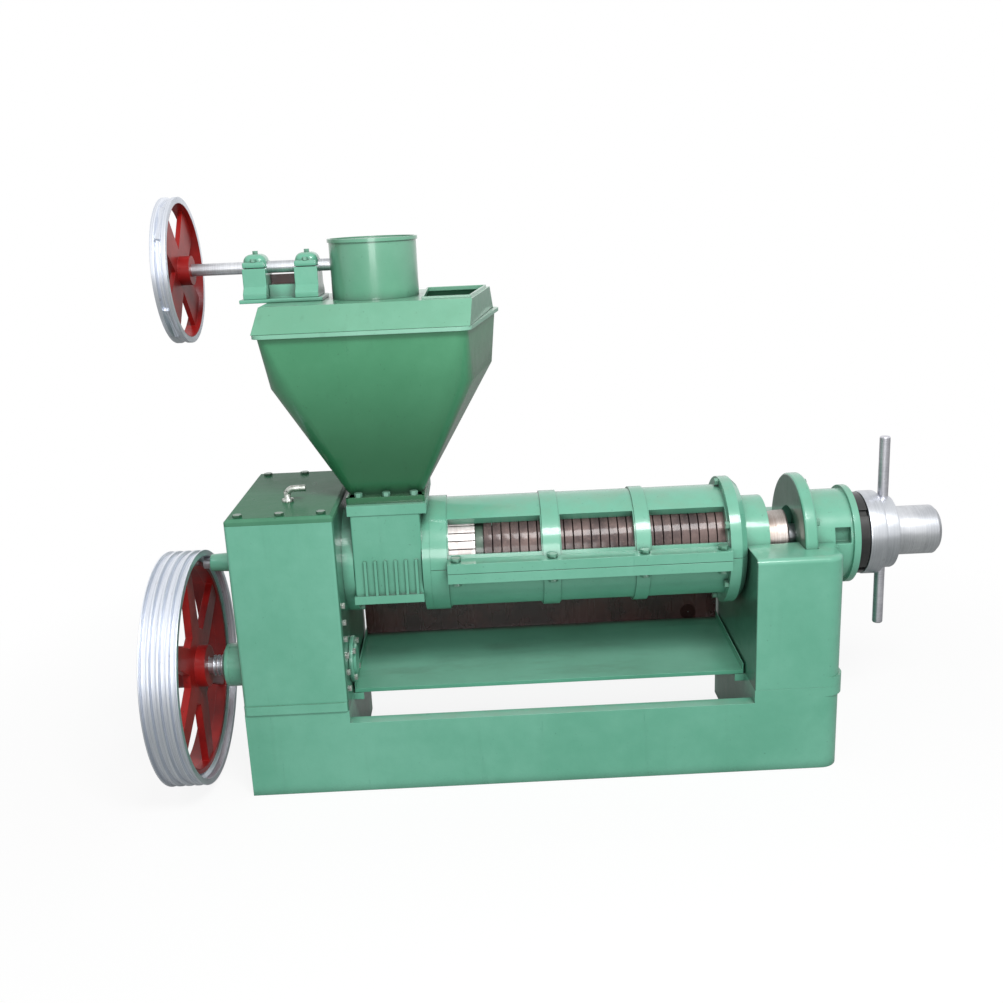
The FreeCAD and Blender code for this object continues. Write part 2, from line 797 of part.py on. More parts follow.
def grooved_rim(x0, width, outer, thickness, count):
    """A pulley rim with V grooves, hollowed at its right edge to clear the shaft's tail, as x and radius."""
    pitch = width / count
    profile = [(x0, outer - thickness), (x0, outer)]
    for i in range(count):
        centre = x0 + pitch * (i + 0.5)
        profile += [(centre - groove_top_width / 2, outer), (centre - groove_bottom_width / 2, outer - groove_depth),
                    (centre + groove_bottom_width / 2, outer - groove_depth), (centre + groove_top_width / 2, outer)]
    relief = outer - groove_depth - rim_edge_wall
    return profile + [(x0 + width, outer), (x0 + width, relief), (x0 + width - rim_relief_depth, relief),
                      (x0 + width - 2 * rim_relief_depth, outer - thickness)]


def spoke(x_mid, thickness, root_radius, tip_radius, root_width, tip_width, angle, y, z):
    """A tapered flat spoke from hub to rim, drawn upright and turned about the axis."""
    body = prism_x(x_mid - thickness / 2, x_mid + thickness / 2,
                   [(y - root_width / 2, z + root_radius), (y + root_width / 2, z + root_radius),
                    (y + tip_width / 2, z + tip_radius), (y - tip_width / 2, z + tip_radius)])
    body.rotate(Vector(x_mid, y, z), Vector(1, 0, 0), angle)
    return body


def drive_pulley():
    x0 = drive_pulley_inner_face - drive_pulley_width
    inner = drive_pulley_radius - drive_rim_thickness
    rim = turned(grooved_rim(x0, drive_pulley_width, drive_pulley_radius, drive_rim_thickness,
                             drive_groove_count), input_axis_y, input_axis_z)
    x_mid = drive_pulley_inner_face - 30.0
    hub = rod_x(x0, drive_pulley_inner_face, drive_hub_radius, input_axis_y, input_axis_z)
    web = rod_x(x_mid - drive_spoke_thickness / 2, x_mid + drive_spoke_thickness / 2, drive_web_radius,
                input_axis_y, input_axis_z)
    spokes = [spoke(x_mid, drive_spoke_thickness, drive_hub_radius - 10, inner + 4, drive_spoke_root_width,
                    drive_spoke_tip_width, 360.0 * i / drive_spoke_count, input_axis_y, input_axis_z)
              for i in range(drive_spoke_count)]
    ring = tube_x(x_mid - 12, x_mid + 12, inner + 2, inner - 9, input_axis_y, input_axis_z)
    wheel = fuse_all([rim, hub, web, ring] + spokes)
    return wheel.cut(rod_x(x0, drive_pulley_inner_face, input_shaft_radius, input_axis_y, input_axis_z)).cut(
        pulley_key())


def feed_pulley():
    x0 = feed_pulley_inner_face - feed_pulley_width
    inner = feed_pulley_radius - feed_rim_thickness
    rim = turned([(x0, inner), (x0, feed_pulley_radius), (x0 + 8, feed_pulley_radius),
                  (x0 + 12, feed_pulley_radius - 8), (x0 + 19, feed_pulley_radius - 8),
                  (x0 + 23, feed_pulley_radius), (x0 + feed_pulley_width, feed_pulley_radius),
                  (x0 + feed_pulley_width, inner)], 0, feed_shaft_z)
    x_mid = x0 + feed_pulley_width / 2
    hub = rod_x(x0, x0 + feed_hub_length, feed_hub_radius, 0, feed_shaft_z)
    spokes = [spoke(x_mid, feed_spoke_thickness, feed_hub_radius - 8, inner + 5, feed_spoke_root_width,
                    feed_spoke_tip_width, 360.0 * (i + 0.5) / feed_spoke_count, 0, feed_shaft_z)
              for i in range(feed_spoke_count)]
    wheel = fuse_all([rim, hub] + spokes)
    return wheel.cut(rod_x(x0, x0 + feed_hub_length, feed_shaft_radius, 0, feed_shaft_z))


# Feed housing

def feed_housing():
    y0, y1 = -feed_body_half_depth, feed_body_half_depth
    body = rounded_block(feed_body_left, feed_body_right, y0, y1, feed_body_bottom, feed_top, casting_radius / 2)
    round_flange = rod_x(gearbox_right, gearbox_right + feed_housing_left_flange, feed_flange_radius)
    sole = block(feed_body_left - 2, feed_body_right, y0 - feed_sole_overhang, y1 + feed_sole_overhang,
                 feed_body_bottom, feed_body_bottom + feed_sole_height)
    top = block(feed_axis_x - hopper_flange_half_x, feed_axis_x + hopper_flange_half_x, y0 - 2, y1 + 2,
                feed_top - feed_top_flange, feed_top)
    ring = rod_x(feed_body_right, feed_body_right + feed_ring_width, cage_ring_radius)
    middle = (feed_body_left + feed_body_right) / 2 + 6
    ribs = [block(middle + feed_rib_pitch * (i - (feed_rib_count - 1) / 2) - feed_rib_width / 2,
                  middle + feed_rib_pitch * (i - (feed_rib_count - 1) / 2) + feed_rib_width / 2,
                  y0 - feed_rib_proud, y0, feed_body_bottom + feed_sole_height, feed_rib_top)
            for i in range(feed_rib_count)]
    casting = fuse_all([body, round_flange, sole, top, ring] + ribs)
    bore = rod_x(gearbox_right, feed_body_right + feed_ring_width, worm_bore_radius)
    throat = rod_z(main_axis_z, feed_top, throat_radius, feed_axis_x)
    return cut_all(casting, [bore, throat])


# Hopper

def ring_wire(points, z):
    return Part.makePolygon([Vector(x, y, z) for x, y in points + points[:1]])


def hopper_levels(inset):
    """The hopper's outline at its neck, shoulder and rim, moved inwards by an inset."""
    i = inset
    neck = [(feed_axis_x - hopper_neck_half_x + i, -hopper_neck_half_y + i),
            (feed_axis_x + hopper_neck_half_x - i, -hopper_neck_half_y + i),
            (feed_axis_x + hopper_neck_half_x - i, hopper_neck_half_y - i),
            (feed_axis_x - hopper_neck_half_x + i, hopper_neck_half_y - i)]
    front, back = hopper_front + hopper_taper_depth, hopper_back - hopper_taper_depth / 2
    shoulder = [(hopper_left + hopper_taper_left + i, front + i), (hopper_front_right - i, front + i),
                (hopper_back_right - i, back - i), (hopper_left + hopper_taper_left + i, back - i)]
    rim = [(hopper_left + i, hopper_front + i), (hopper_front_right - i, hopper_front + i),
           (hopper_back_right - i, hopper_back - i), (hopper_left + i, hopper_back - i)]
    return neck, shoulder, rim


def hopper_body(inset):
    neck, shoulder, rim = hopper_levels(inset)
    neck_z = feed_top + hopper_flange_thickness
    lower = Part.makeLoft([ring_wire(neck, neck_z), ring_wire(shoulder, hopper_shoulder_z)], True, True)
    upper = Part.makeLoft([ring_wire(shoulder, hopper_shoulder_z), ring_wire(rim, hopper_rim_z)], True, True)
    return lower.fuse(upper)


def hopper():
    neck, shoulder, rim = hopper_levels(0)
    lip_points = hopper_levels(-hopper_rim_lip)[2]
    lip = polygon_face([Vector(x, y, hopper_rim_z - hopper_rim_lip_height) for x, y in lip_points]).extrude(
        Vector(0, 0, hopper_rim_lip_height))
    flange = block(feed_axis_x - hopper_flange_half_x, feed_axis_x + hopper_flange_half_x,
                   -hopper_flange_half_y, hopper_flange_half_y, feed_top, feed_top + hopper_flange_thickness)
    shell = fuse_all([hopper_body(0), lip, flange])
    return cut_all(shell, [hopper_body(hopper_sheet), rod_z(feed_top, feed_top + hopper_flange_thickness,
                                                            throat_radius, feed_axis_x)])


def right_wall_x(y):
    """The splayed right wall's place at a depth, at the rim."""
    share = (y - hopper_front) / (hopper_back - hopper_front)
    return hopper_front_right + (hopper_back_right - hopper_front_right) * share


def mouth_prism(grow, z0, z1):
    """The filling mouth's outline, which follows the splayed right wall, extruded upwards."""
    y = mouth_half_depth + grow
    edge = mouth_margin - grow
    points = [(mouth_left - grow, -y), (right_wall_x(-y) - edge, -y), (right_wall_x(y) - edge, y),
              (mouth_left - grow, y)]
    return polygon_face([Vector(a, b, z0) for a, b in points]).extrude(Vector(0, 0, z1 - z0))


def lid_outline(inset):
    rim = hopper_levels(inset)[2]
    front, back = hopper_front + lid_slope_depth + inset, hopper_back - lid_slope_depth - inset
    left = hopper_left + lid_slope_left + inset
    top = [(left, front), (right_wall_x(front) - inset, front), (right_wall_x(back) - inset, back), (left, back)]
    return rim, top


def lid_body(inset, z0, z1):
    rim, top = lid_outline(inset)
    return Part.makeLoft([ring_wire(rim, z0), ring_wire(top, z1)], True, True)


def hopper_lid():
    lid = lid_body(0, hopper_rim_z, lid_top_z).cut(lid_body(lid_sheet, hopper_rim_z, lid_top_z - lid_sheet))
    collar = mouth_prism(mouth_collar_wall, lid_top_z - lid_sheet, lid_top_z + mouth_collar_height)
    mouth = mouth_prism(0, hopper_rim_z, lid_top_z + mouth_collar_height)
    bush_hole = rod_z(lid_top_z - lid_sheet, lid_top_z, auger_bush_radius, feed_axis_x)
    return cut_all(fuse_all([lid, collar]), [mouth, bush_hole])


# Feed drive

def bearing_bracket():
    """A plate with two upright pads that carry the bearing blocks, and the tie between them."""
    plate = block(bracket_left, bracket_right, -bracket_half_depth, bracket_half_depth, lid_top_z,
                  lid_top_z + bracket_thickness)
    tie_z = lid_top_z + bracket_thickness
    tie = block(block_centres[0] + block_width / 2, block_centres[1] - block_width / 2, -14, 14, tie_z, tie_z + 26)
    return fuse_all([plate, tie])


def block_outline(centre_z):
    """A plummer block's base seen along the shaft, up to the height of the shaft."""
    z0 = lid_top_z + bracket_thickness
    return [(-block_foot_half_depth, z0), (block_foot_half_depth, z0),
            (block_foot_half_depth, z0 + block_foot_height), (block_half_depth, z0 + block_foot_height + 12),
            (block_half_depth, centre_z), (-block_half_depth, centre_z),
            (-block_half_depth, z0 + block_foot_height + 12), (-block_foot_half_depth, z0 + block_foot_height)]


def bearing_block_bases():
    blocks = []
    for x in block_centres:
        body = prism_x(x - block_width / 2, x + block_width / 2, block_outline(feed_shaft_z - 0.5))
        blocks.append(body.cut(rod_x(x - block_width / 2, x + block_width / 2, feed_shaft_radius + shaft_fit,
                                     0, feed_shaft_z)))
    return Part.makeCompound(blocks)


def bearing_block_caps():
    caps = []
    for x in block_centres:
        x0, x1 = x - block_width / 2, x + block_width / 2
        crown = rod_x(x0, x1, block_cap_radius, 0, feed_shaft_z)
        ears = block(x0 + 6, x1 - 6, -block_half_depth, block_half_depth, feed_shaft_z, feed_shaft_z + block_ear)
        boss = rod_z(feed_shaft_z, feed_shaft_z + block_cap_radius + 2, grease_cup_radius + 2, x)
        body = fuse_all([crown, ears, boss]).common(
            block(x0, x1, -block_half_depth, block_half_depth, feed_shaft_z + 0.5, gear_cover_top))
        caps.append(body.cut(rod_x(x0, x1, feed_shaft_radius + shaft_fit, 0, feed_shaft_z)))
    return Part.makeCompound(caps)


def block_bolts():
    heads = []
    for x in block_centres:
        for side in (-1, 1):
            spot = Vector(x, side * (block_half_depth - 5.5), feed_shaft_z + block_ear)
            heads.append(hexagon(block_bolt_across, block_bolt_head, spot, Vector(0, 0, 1)))
    return Part.makeCompound(heads)


def grease_cups():
    cups = []
    for x in block_centres:
        z = feed_shaft_z + block_cap_radius + 2
        cups.append(rod_z(z, z + grease_cup_height, grease_cup_radius, x))
    return Part.makeCompound(cups)


def feed_shaft():
    return rod_x(feed_shaft_left, feed_axis_x - crown_pitch_radius + bevel_face + 4, feed_shaft_radius,
                 0, feed_shaft_z)


def bevel_outline(teeth, pitch_radius, distance, phase):
    """Tooth outline of a bevel gear's large end, in the plane across its axis at a distance from the apex."""
    module = 2 * pitch_radius / teeth
    cone_length = math.hypot(pitch_radius, distance)
    cone_angle = math.atan2(pitch_radius, distance)
    root = distance * math.tan(cone_angle - 1.15 * module / cone_length)
    tip = distance * math.tan(cone_angle + 0.75 * module / cone_length)
    step = 2 * math.pi / teeth
    points = []
    for i in range(teeth):
        for radius, share in ((root, -0.33), (tip, -0.12), (tip, 0.12), (root, 0.33)):
            angle = (i + phase + share) * step
            points.append((radius * math.cos(angle), radius * math.sin(angle)))
    return points


def bevel_gear(points, apex, axis, distance, face):
    """Loft a tooth outline from its large end towards the apex where the shaft lines cross."""
    wires = []
    for share in (1.0, 1.0 - face / distance):
        placed = []
        for a, b in points:
            if axis == "x":
                placed.append(apex + Vector(-distance * share, a * share, b * share))
            else:
                placed.append(apex + Vector(a * share, b * share, -distance * share))
        wires.append(Part.makePolygon(placed + placed[:1]))
    return Part.makeLoft(wires, True, True)


def bevel_pinion():
    apex = Vector(feed_axis_x, 0, feed_shaft_z)
    radius = crown_pitch_radius * bevel_pinion_teeth / crown_teeth
    outline = bevel_outline(bevel_pinion_teeth, radius, crown_pitch_radius,
                            mesh_phase(bevel_pinion_teeth, -math.pi / 2, True))
    gear = bevel_gear(outline, apex, "x", crown_pitch_radius, bevel_face)
    hub = rod_x(feed_axis_x - crown_pitch_radius - 14, feed_axis_x - crown_pitch_radius, radius - 2.5, 0, feed_shaft_z)
    return fuse_all([gear, hub]).cut(
        rod_x(feed_axis_x - crown_pitch_radius - 14, feed_axis_x, feed_shaft_radius, 0, feed_shaft_z))


def crown_hub_bottom():
    return feed_shaft_z - crown_pitch_radius * bevel_pinion_teeth / crown_teeth - crown_web - crown_hub


def crown_gear():
    apex = Vector(feed_axis_x, 0, feed_shaft_z)
    distance = crown_pitch_radius * bevel_pinion_teeth / crown_teeth
    outline = bevel_outline(crown_teeth, crown_pitch_radius, distance,
                            mesh_phase(crown_teeth, math.pi, False))
    gear = bevel_gear(outline, apex, "z", distance, bevel_face * distance / crown_pitch_radius)
    z0 = feed_shaft_z - distance
    web = rod_z(z0 - crown_web, z0, crown_pitch_radius * 0.8, feed_axis_x)
    hub = rod_z(crown_hub_bottom(), z0 - crown_web, auger_bush_radius, feed_axis_x)
    return fuse_all([gear, web, hub]).cut(
        rod_z(crown_hub_bottom(), feed_shaft_z, auger_shaft_radius, feed_axis_x))


def gear_cover():
    z0 = lid_top_z
    t = gear_cover_sheet
    outer = rod_z(z0, gear_cover_top, gear_cover_radius, feed_axis_x).fuse(
        rod_z(gear_cover_top - gear_cover_lip, gear_cover_top, gear_cover_radius + t, feed_axis_x))
    outer = outer.cut(rod_z(gear_cover_top - t, gear_cover_top, gear_cover_radius - t, feed_axis_x))
    inner = rod_z(z0, gear_cover_top - 2 * t, gear_cover_radius - t, feed_axis_x)
    door = rod_x(feed_axis_x - gear_cover_radius - 2, feed_axis_x - gear_cover_radius + 12,
                 feed_shaft_radius + 3, 0, feed_shaft_z)
    return outer.cut(inner).cut(door)


def auger_bush():
    z0 = lid_top_z - auger_bush_depth
    z1 = crown_hub_bottom() - body_gap
    body = rod_z(z0, z1, auger_bush_radius, feed_axis_x)
    shoulder = rod_z(lid_top_z, lid_top_z + 6, auger_bush_radius + 8, feed_axis_x)
    return fuse_all([body, shoulder]).cut(rod_z(z0, z1, auger_shaft_radius + shaft_fit, feed_axis_x))


def feed_auger():
    """The upright stirrer: a shaft, two cross paddles and a screw that fills the throat."""
    top = feed_shaft_z - feed_shaft_radius - 3
    shaft = rod_z(auger_bottom, top, auger_shaft_radius, feed_axis_x)
    helix = Part.makeHelix(auger_pitch, auger_flight_height, (auger_shaft_radius + auger_radius) / 2)
    t = auger_flight_thickness / 2
    inner = auger_shaft_radius - 1.5
    section = Part.makePolygon([Vector(inner, 0, -t), Vector(auger_radius, 0, -t), Vector(auger_radius, 0, t),
                                Vector(inner, 0, t), Vector(inner, 0, -t)])
    screw = Part.Wire(helix).makePipeShell([section], True, True)
    screw.rotate(Vector(0, 0, 0), Vector(0, 0, 1), 40)
    screw.translate(Vector(feed_axis_x, 0, auger_bottom + t))
    paddles = [Part.makeCylinder(paddle_radius, paddle_length,
                                 Vector(feed_axis_x - (paddle_length / 2 if i % 2 else 0),
                                        0 if i % 2 else -paddle_length / 2, z),
                                 Vector(1, 0, 0) if i % 2 else Vector(0, 1, 0))
               for i, z in enumerate(paddle_heights)]
    return fuse_all([shaft, screw] + paddles)


# Press cage

def cage_shell():
    """Both halves of the cage in one turned shell with its ribs, end rings and joint flanges."""
    z, y = main_axis_z, main_axis_y
    shell = rod_x(cage_left, cage_end_left, cage_shell_radius)
    first = rod_x(cage_left, cage_left + cage_first_ring, cage_ring_radius)
    ribs = [rod_x(x0, x1, cage_ring_radius) for x0, x1 in cage_rib_spans]
    c = cage_end_chamfer
    end = turned([(cage_end_left, 0), (cage_end_left, cage_end_radius), (cage_end_right - c, cage_end_radius),
                  (cage_end_right, cage_end_radius - c), (cage_end_right, 0)], y, z)
    neck = rod_x(cage_end_right, neck_right, neck_radius)
    flange = block(cage_left + cage_first_ring, cage_end_left, y - cage_joint_half_width,
                   y + cage_joint_half_width, z - cage_joint_thickness, z + cage_joint_thickness)
    return fuse_all([shell, first, end, neck, flange] + ribs)


def cage_bays():
    spans = []
    left = cage_left + cage_first_ring
    for x0, x1 in cage_rib_spans:
        spans.append((left, x0))
        left = x1
    spans.append((left, cage_end_left))
    return spans


def cage_cavities():
    shoulder = cage_end_left - 1
    holes = [rod_x(cage_left, shoulder, cage_bore_radius), rod_x(shoulder, cage_end_right, worm_bore_radius),
             cone_x(cage_end_right, neck_right, worm_bore_radius, outlet_ring_outer - 8),
             rod_x(neck_right - outlet_ring_length, neck_right, outlet_ring_outer)]
    edge = 3.0
    for x0, x1 in cage_bays():
        for low, high in ((window_low_angle, window_high_angle),
                          (180 - window_high_angle, 180 - window_low_angle),
                          (270 - drain_half_angle, 270 + drain_half_angle)):
            holes.append(sector_cutter(x0 + edge, x1 - edge, low, high, cage_bore_radius - 10,
                                       cage_ring_radius + 4))
    return holes


def joint_bolt_points():
    """Bolts at both ends of the joint flanges and beside each rib."""
    xs = [cage_left + cage_first_ring + joint_bolt_end, cage_end_left - joint_bolt_end]
    xs += [(x0 + x1) / 2 for x0, x1 in cage_rib_spans]
    return [(x, side * joint_bolt_y) for x in sorted(xs) for side in (-1, 1)]


def cage_half(side):
    z = main_axis_z
    gap = cage_joint_gap / 2
    reach = cage_end_radius + 10
    keep = block(cage_left - 1, neck_right + 1, -cage_joint_half_width - 1, cage_joint_half_width + 1,
                 z + gap if side > 0 else z - reach, z + reach if side > 0 else z - gap)
    holes = cage_cavities()
    holes += [rod_z(z - cage_joint_thickness, z + cage_joint_thickness, joint_bolt_radius, x, y)
              for x, y in joint_bolt_points()]
    return cut_all(cage_shell(), holes).common(keep)


def cage_upper_half():
    return cage_half(1)


def cage_lower_half():
    return cage_half(-1)


def cage_joint_bolts():
    bolts = []
    top = main_axis_z + cage_joint_thickness
    bottom = main_axis_z - cage_joint_thickness
    for x, y in joint_bolt_points():
        head = hexagon(joint_bolt_across, joint_bolt_head, Vector(x, y, top), Vector(0, 0, 1))
        shank = rod_z(bottom - joint_bolt_head, top, joint_bolt_radius - 0.4, x, y)
        nut = hexagon(joint_bolt_across, joint_bolt_head, Vector(x, y, bottom), Vector(0, 0, -1))
        bolts.append(fuse_all([head, shank, nut]))
    return Part.makeCompound(bolts)


def flange_bolts():
    """The hexagon heads, all one size, that hold the flanges of feed housing, hopper, cage and outlet plate."""
    edge = 0.5 * flange_bolt_across + 0.5
    spots = [(Vector(gearbox_right + feed_housing_left_flange, y, z), Vector(1, 0, 0))
             for y, z, angle in around_x(8, feed_flange_radius - edge, main_axis_y, main_axis_z, 22.5)
             if z < feed_body_bottom - flange_bolt_across / 2]
    hopper_z = feed_top + hopper_flange_thickness
    row_x = hopper_flange_half_x * 0.7
    spots += [(Vector(feed_axis_x + dx, side * (hopper_flange_half_y - edge), hopper_z), Vector(0, 0, 1))
              for side in (-1, 1) for dx in (-row_x, 0, row_x)]
    spots += [(Vector(cage_end_left, y, z), Vector(-1, 0, 0))
              for y, z, angle in around_x(end_bolt_count, (cage_end_radius + cage_shell_radius) / 2,
                                          main_axis_y, main_axis_z, 30)
              if abs(z - main_axis_z) > cage_joint_thickness + flange_bolt_across / 2]
    spots += [(Vector(plate_left + plate_thickness, y, z), Vector(1, 0, 0))
              for y, z, angle in around_x(6, (plate_radius + housing_radius) / 2, main_axis_y, main_axis_z, 30)
              if z > pedestal_top + flange_bolt_across]
    return Part.makeCompound([hexagon(flange_bolt_across, flange_bolt_head, base, way) for base, way in spots])


def cage_bars():
    """Lining bars of the first bay, wedge sections laid side by side round the worm."""
    bars = []
    inner, outer = worm_bore_radius, cage_bore_radius - body_gap
    for i in range(bar_count):
        centre = 2 * math.pi * (i + 0.5) / bar_count
        half = math.pi / bar_count
        points = []
        for radius, sign in ((inner, -1), (outer, -1), (outer, 1), (inner, 1)):
            angle = centre + sign * (half - bar_gap / 2 / radius)
            points.append((main_axis_y + radius * math.cos(angle), main_axis_z + radius * math.sin(angle)))
        bars.append(prism_x(cage_left + body_gap, bar_right, points))
    return Part.makeCompound(bars)


def cage_divider():
    return tube_x(bar_right, bar_right + divider_width, cage_bore_radius - body_gap, worm_bore_radius)


def cage_rings():
    rings = []
    left = bar_right + divider_width
    pitch = (cage_end_left - 1 - left) / ring_count
    for i in range(ring_count):
        x0 = left + i * pitch
        rings.append(tube_x(x0 + ring_gap / 2, x0 + pitch - ring_gap / 2, cage_bore_radius - body_gap,
                            worm_bore_radius))
    return Part.makeCompound(rings)


def cone_radius(x):
    """Radius of the press cone at a place along the shaft."""
    return cone_tip_radius + (cone_end_radius - cone_tip_radius) * (x - worm_right) / (cone_right - worm_right)


def outlet_ring():
    x0, x1 = neck_right - outlet_ring_length, neck_right
    return turned([(x0, cone_radius(x0) + outlet_clearance), (x0, outlet_ring_outer - 0.2),
                   (x1, outlet_ring_outer - 0.2), (x1, cone_radius(x1) + outlet_clearance)],
                  main_axis_y, main_axis_z)


# Main shaft and worm

def main_shaft():
    z, y = main_axis_z, main_axis_y
    profile = [(main_tail_left, 0), (main_tail_left, main_tail_radius), (gearbox_left - 6, main_tail_radius),
               (gearbox_left - 6, main_journal_radius), (worm_left, main_journal_radius),
               (worm_left, worm_core_radius), (shaft_collar_left, worm_core_radius),
               (shaft_collar_left, shaft_collar_radius), (thrust_left, shaft_collar_radius),
               (thrust_left, shaft_end_radius), (shaft_end_right, shaft_end_radius), (shaft_end_right, 0)]
    return turned(profile, y, z)


def worm_bounds():
    """The feed worm and the press worms along the shaft, as start, end and root radius."""
    spans = [(worm_left, worm_left + feed_worm_length, worm_root_start)]
    start = worm_left + feed_worm_length
    length = (worm_right - start) / worm_segments
    for i in range(worm_segments):
        root = worm_root_start + (worm_root_end - worm_root_start) * (i + 1) / worm_segments
        spans.append((start + i * length, start + (i + 1) * length, root))
    return spans


def feed_worm():
    x0, x1, root = worm_bounds()[0]
    pitch = (x1 - x0 - worm_flight_thickness) / feed_worm_turns
    screw = flight(x0 + worm_flight_thickness / 2, pitch, feed_worm_turns, root, worm_tip_radius,
                   worm_flight_thickness)
    screw.rotate(Vector(0, main_axis_y, main_axis_z), Vector(1, 0, 0), 35)
    return fuse_all([rod_x(x0, x1, root), screw]).cut(rod_x(x0, x1, worm_core_radius))


def press_worms():
    """Collared worms whose roots grow towards the outlet, so that the seed is squeezed harder and harder."""
    worms = []
    for index, (x0, x1, root) in enumerate(worm_bounds()[1:]):
        taper = cone_x(x0, x1, root - (worm_root_end - worm_root_start) / worm_segments, root)
        length = (x1 - x0) * 0.80
        screw = flight(x0 + worm_flight_thickness / 2, length / worm_flight_turns, worm_flight_turns,
                       root - 2, worm_tip_radius, worm_flight_thickness)
        screw.rotate(Vector(0, main_axis_y, main_axis_z), Vector(1, 0, 0), 75 * index)
        worms.append(fuse_all([taper, screw]).cut(rod_x(x0, x1, worm_core_radius)))
    return Part.makeCompound(worms)


def press_cone():
    cone = cone_x(worm_right, cone_right, cone_tip_radius, cone_end_radius)
    collar = rod_x(cone_right, cone_right + cone_collar, cone_end_radius)
    return fuse_all([cone, collar]).cut(rod_x(worm_right, cone_right + cone_collar, worm_core_radius))


# Pedestal and outlet end

def pedestal():
    x0, x1 = pedestal_left, pedestal_right
    outer = rounded_block(x0, x1, base_front, base_back, base_height, pedestal_top, end_corner_radius, True)
    long_top = [e for e in outer.Edges if e.BoundBox.ZMin > pedestal_top - 0.1 and e.BoundBox.XLength > 100]
    outer = outer.makeFillet(pedestal_top_round, long_top)
    foot = rounded_block(x0, x1 + deck_lip, base_front, base_back, base_height,
                         base_height + pedestal_foot_height, end_corner_radius, True)
    w = pedestal_wall
    inner = rounded_block(x0 + w, x1 - w, base_front + w, base_back - w, base_height,
                          pedestal_top - pedestal_top_plate, end_corner_radius - w, True)
    saddle_x0 = plate_left + plate_thickness
    saddle = block(saddle_x0, x1, -saddle_half_depth, saddle_half_depth, pedestal_top - saddle_depth, pedestal_top)
    body = fuse_all([fuse_all([outer, foot]).cut(inner), saddle])
    neck_seat = rod_x(x0, neck_right, neck_radius)
    mouth = block(x0 + chute_margin, saddle_x0, -outlet_half_depth, outlet_half_depth,
                  pedestal_top - pedestal_top_plate, pedestal_top)
    slot = block(plate_left - body_gap, saddle_x0, -plate_radius - body_gap, plate_radius + body_gap,
                 main_axis_z - plate_radius - 1, pedestal_top)
    seat = rod_x(saddle_x0, x1, housing_radius)
    above = block(saddle_x0, x1, -housing_radius, housing_radius, main_axis_z, pedestal_top)
    return cut_all(body, [neck_seat, mouth, slot, seat, above])


def outlet_plate():
    """The round plate that stands behind the cake gap and bolts to the saddle."""
    x0, x1 = plate_left, plate_left + plate_thickness
    return turned([(x0, plate_bore), (x0, plate_radius - 4), (x0 + 4, plate_radius), (x1 - 4, plate_radius),
                   (x1, plate_radius - 4), (x1, plate_bore)], main_axis_y, main_axis_z)


def bearing_housing():
    x0 = plate_left + plate_thickness
    body = rod_x(x0, housing_right, housing_radius)
    flange = rod_x(housing_right - housing_flange_width, housing_right, housing_flange_radius)
    casting = fuse_all([body, flange])
    pocket_x = pedestal_right + 4
    pocket = block(pocket_x, pocket_x + lubrication_pocket, -housing_radius - 5, -housing_radius + 22,
                   main_axis_z + 8, main_axis_z + 42)
    seat = thrust_outer + body_gap
    return cut_all(casting, [rod_x(x0, thrust_right + 8, seat + 0.75),
                             rod_x(thrust_right + 8, housing_right, thread_radius + shaft_fit), pocket])


def thrust_bearing():
    gap = 0.4
    wide = (thrust_right - thrust_left)
    rings = turned([(thrust_left + gap, shaft_end_radius + shaft_fit), (thrust_left + gap, thrust_outer),
                    (thrust_left + wide * 0.32, thrust_outer), (thrust_left + wide * 0.32, thrust_outer - 6),
                    (thrust_left + wide * 0.68, thrust_outer - 6), (thrust_left + wide * 0.68, thrust_outer),
                    (thrust_right - gap, thrust_outer), (thrust_right - gap, shaft_end_radius + shaft_fit)],
                   main_axis_y, main_axis_z)
    return rings


def adjusting_sleeve():
    c = sleeve_chamfer
    bore = shaft_end_radius + body_gap
    depth = shaft_end_right + 12
    body = turned([(thrust_right, bore), (thrust_right, thread_radius), (sleeve_right - c, thread_radius),
                   (sleeve_right, thread_radius - c), (sleeve_right, 0), (depth, 0), (depth, bore)],
                  main_axis_y, main_axis_z)
    return body


def hand_ring():
    c = hand_ring_chamfer
    ring = turned([(hand_ring_left, thread_radius), (hand_ring_left, hand_ring_radius - 3),
                   (hand_ring_left + 3, hand_ring_radius), (hand_ring_right - c, hand_ring_radius),
                   (hand_ring_right, hand_ring_radius - c), (hand_ring_right, thread_radius)],
                  main_axis_y, main_axis_z)
    return ring.cut(tommy_bar_holes())


def tommy_bar_axis(side):
    tilt = math.radians(tommy_bar_tilt)
    return Vector(0, side * math.sin(tilt), side * math.cos(tilt))


def tommy_bar_rod(side, start, end, radius):
    direction = tommy_bar_axis(side)
    base = Vector(tommy_bar_x, main_axis_y, main_axis_z) + direction * start
    return Part.makeCylinder(radius, end - start, base, direction)


def tommy_bar_holes():
    start = hand_ring_radius - tommy_bar_seat
    return Part.makeCompound([tommy_bar_rod(side, start, hand_ring_radius + 10, tommy_bar_radius)
                              for side in (-1, 1)])


def tommy_bars():
    start = hand_ring_radius - tommy_bar_seat
    bars = []
    for side in (-1, 1):
        bar = tommy_bar_rod(side, start, tommy_bar_reach, tommy_bar_radius)
        rim = [e for e in bar.Edges if abs(e.CenterOfMass.z - main_axis_z) > tommy_bar_reach - 8]
        bars.append(bar.makeFillet(4, rim) if rim else bar)
    return Part.makeCompound(bars)


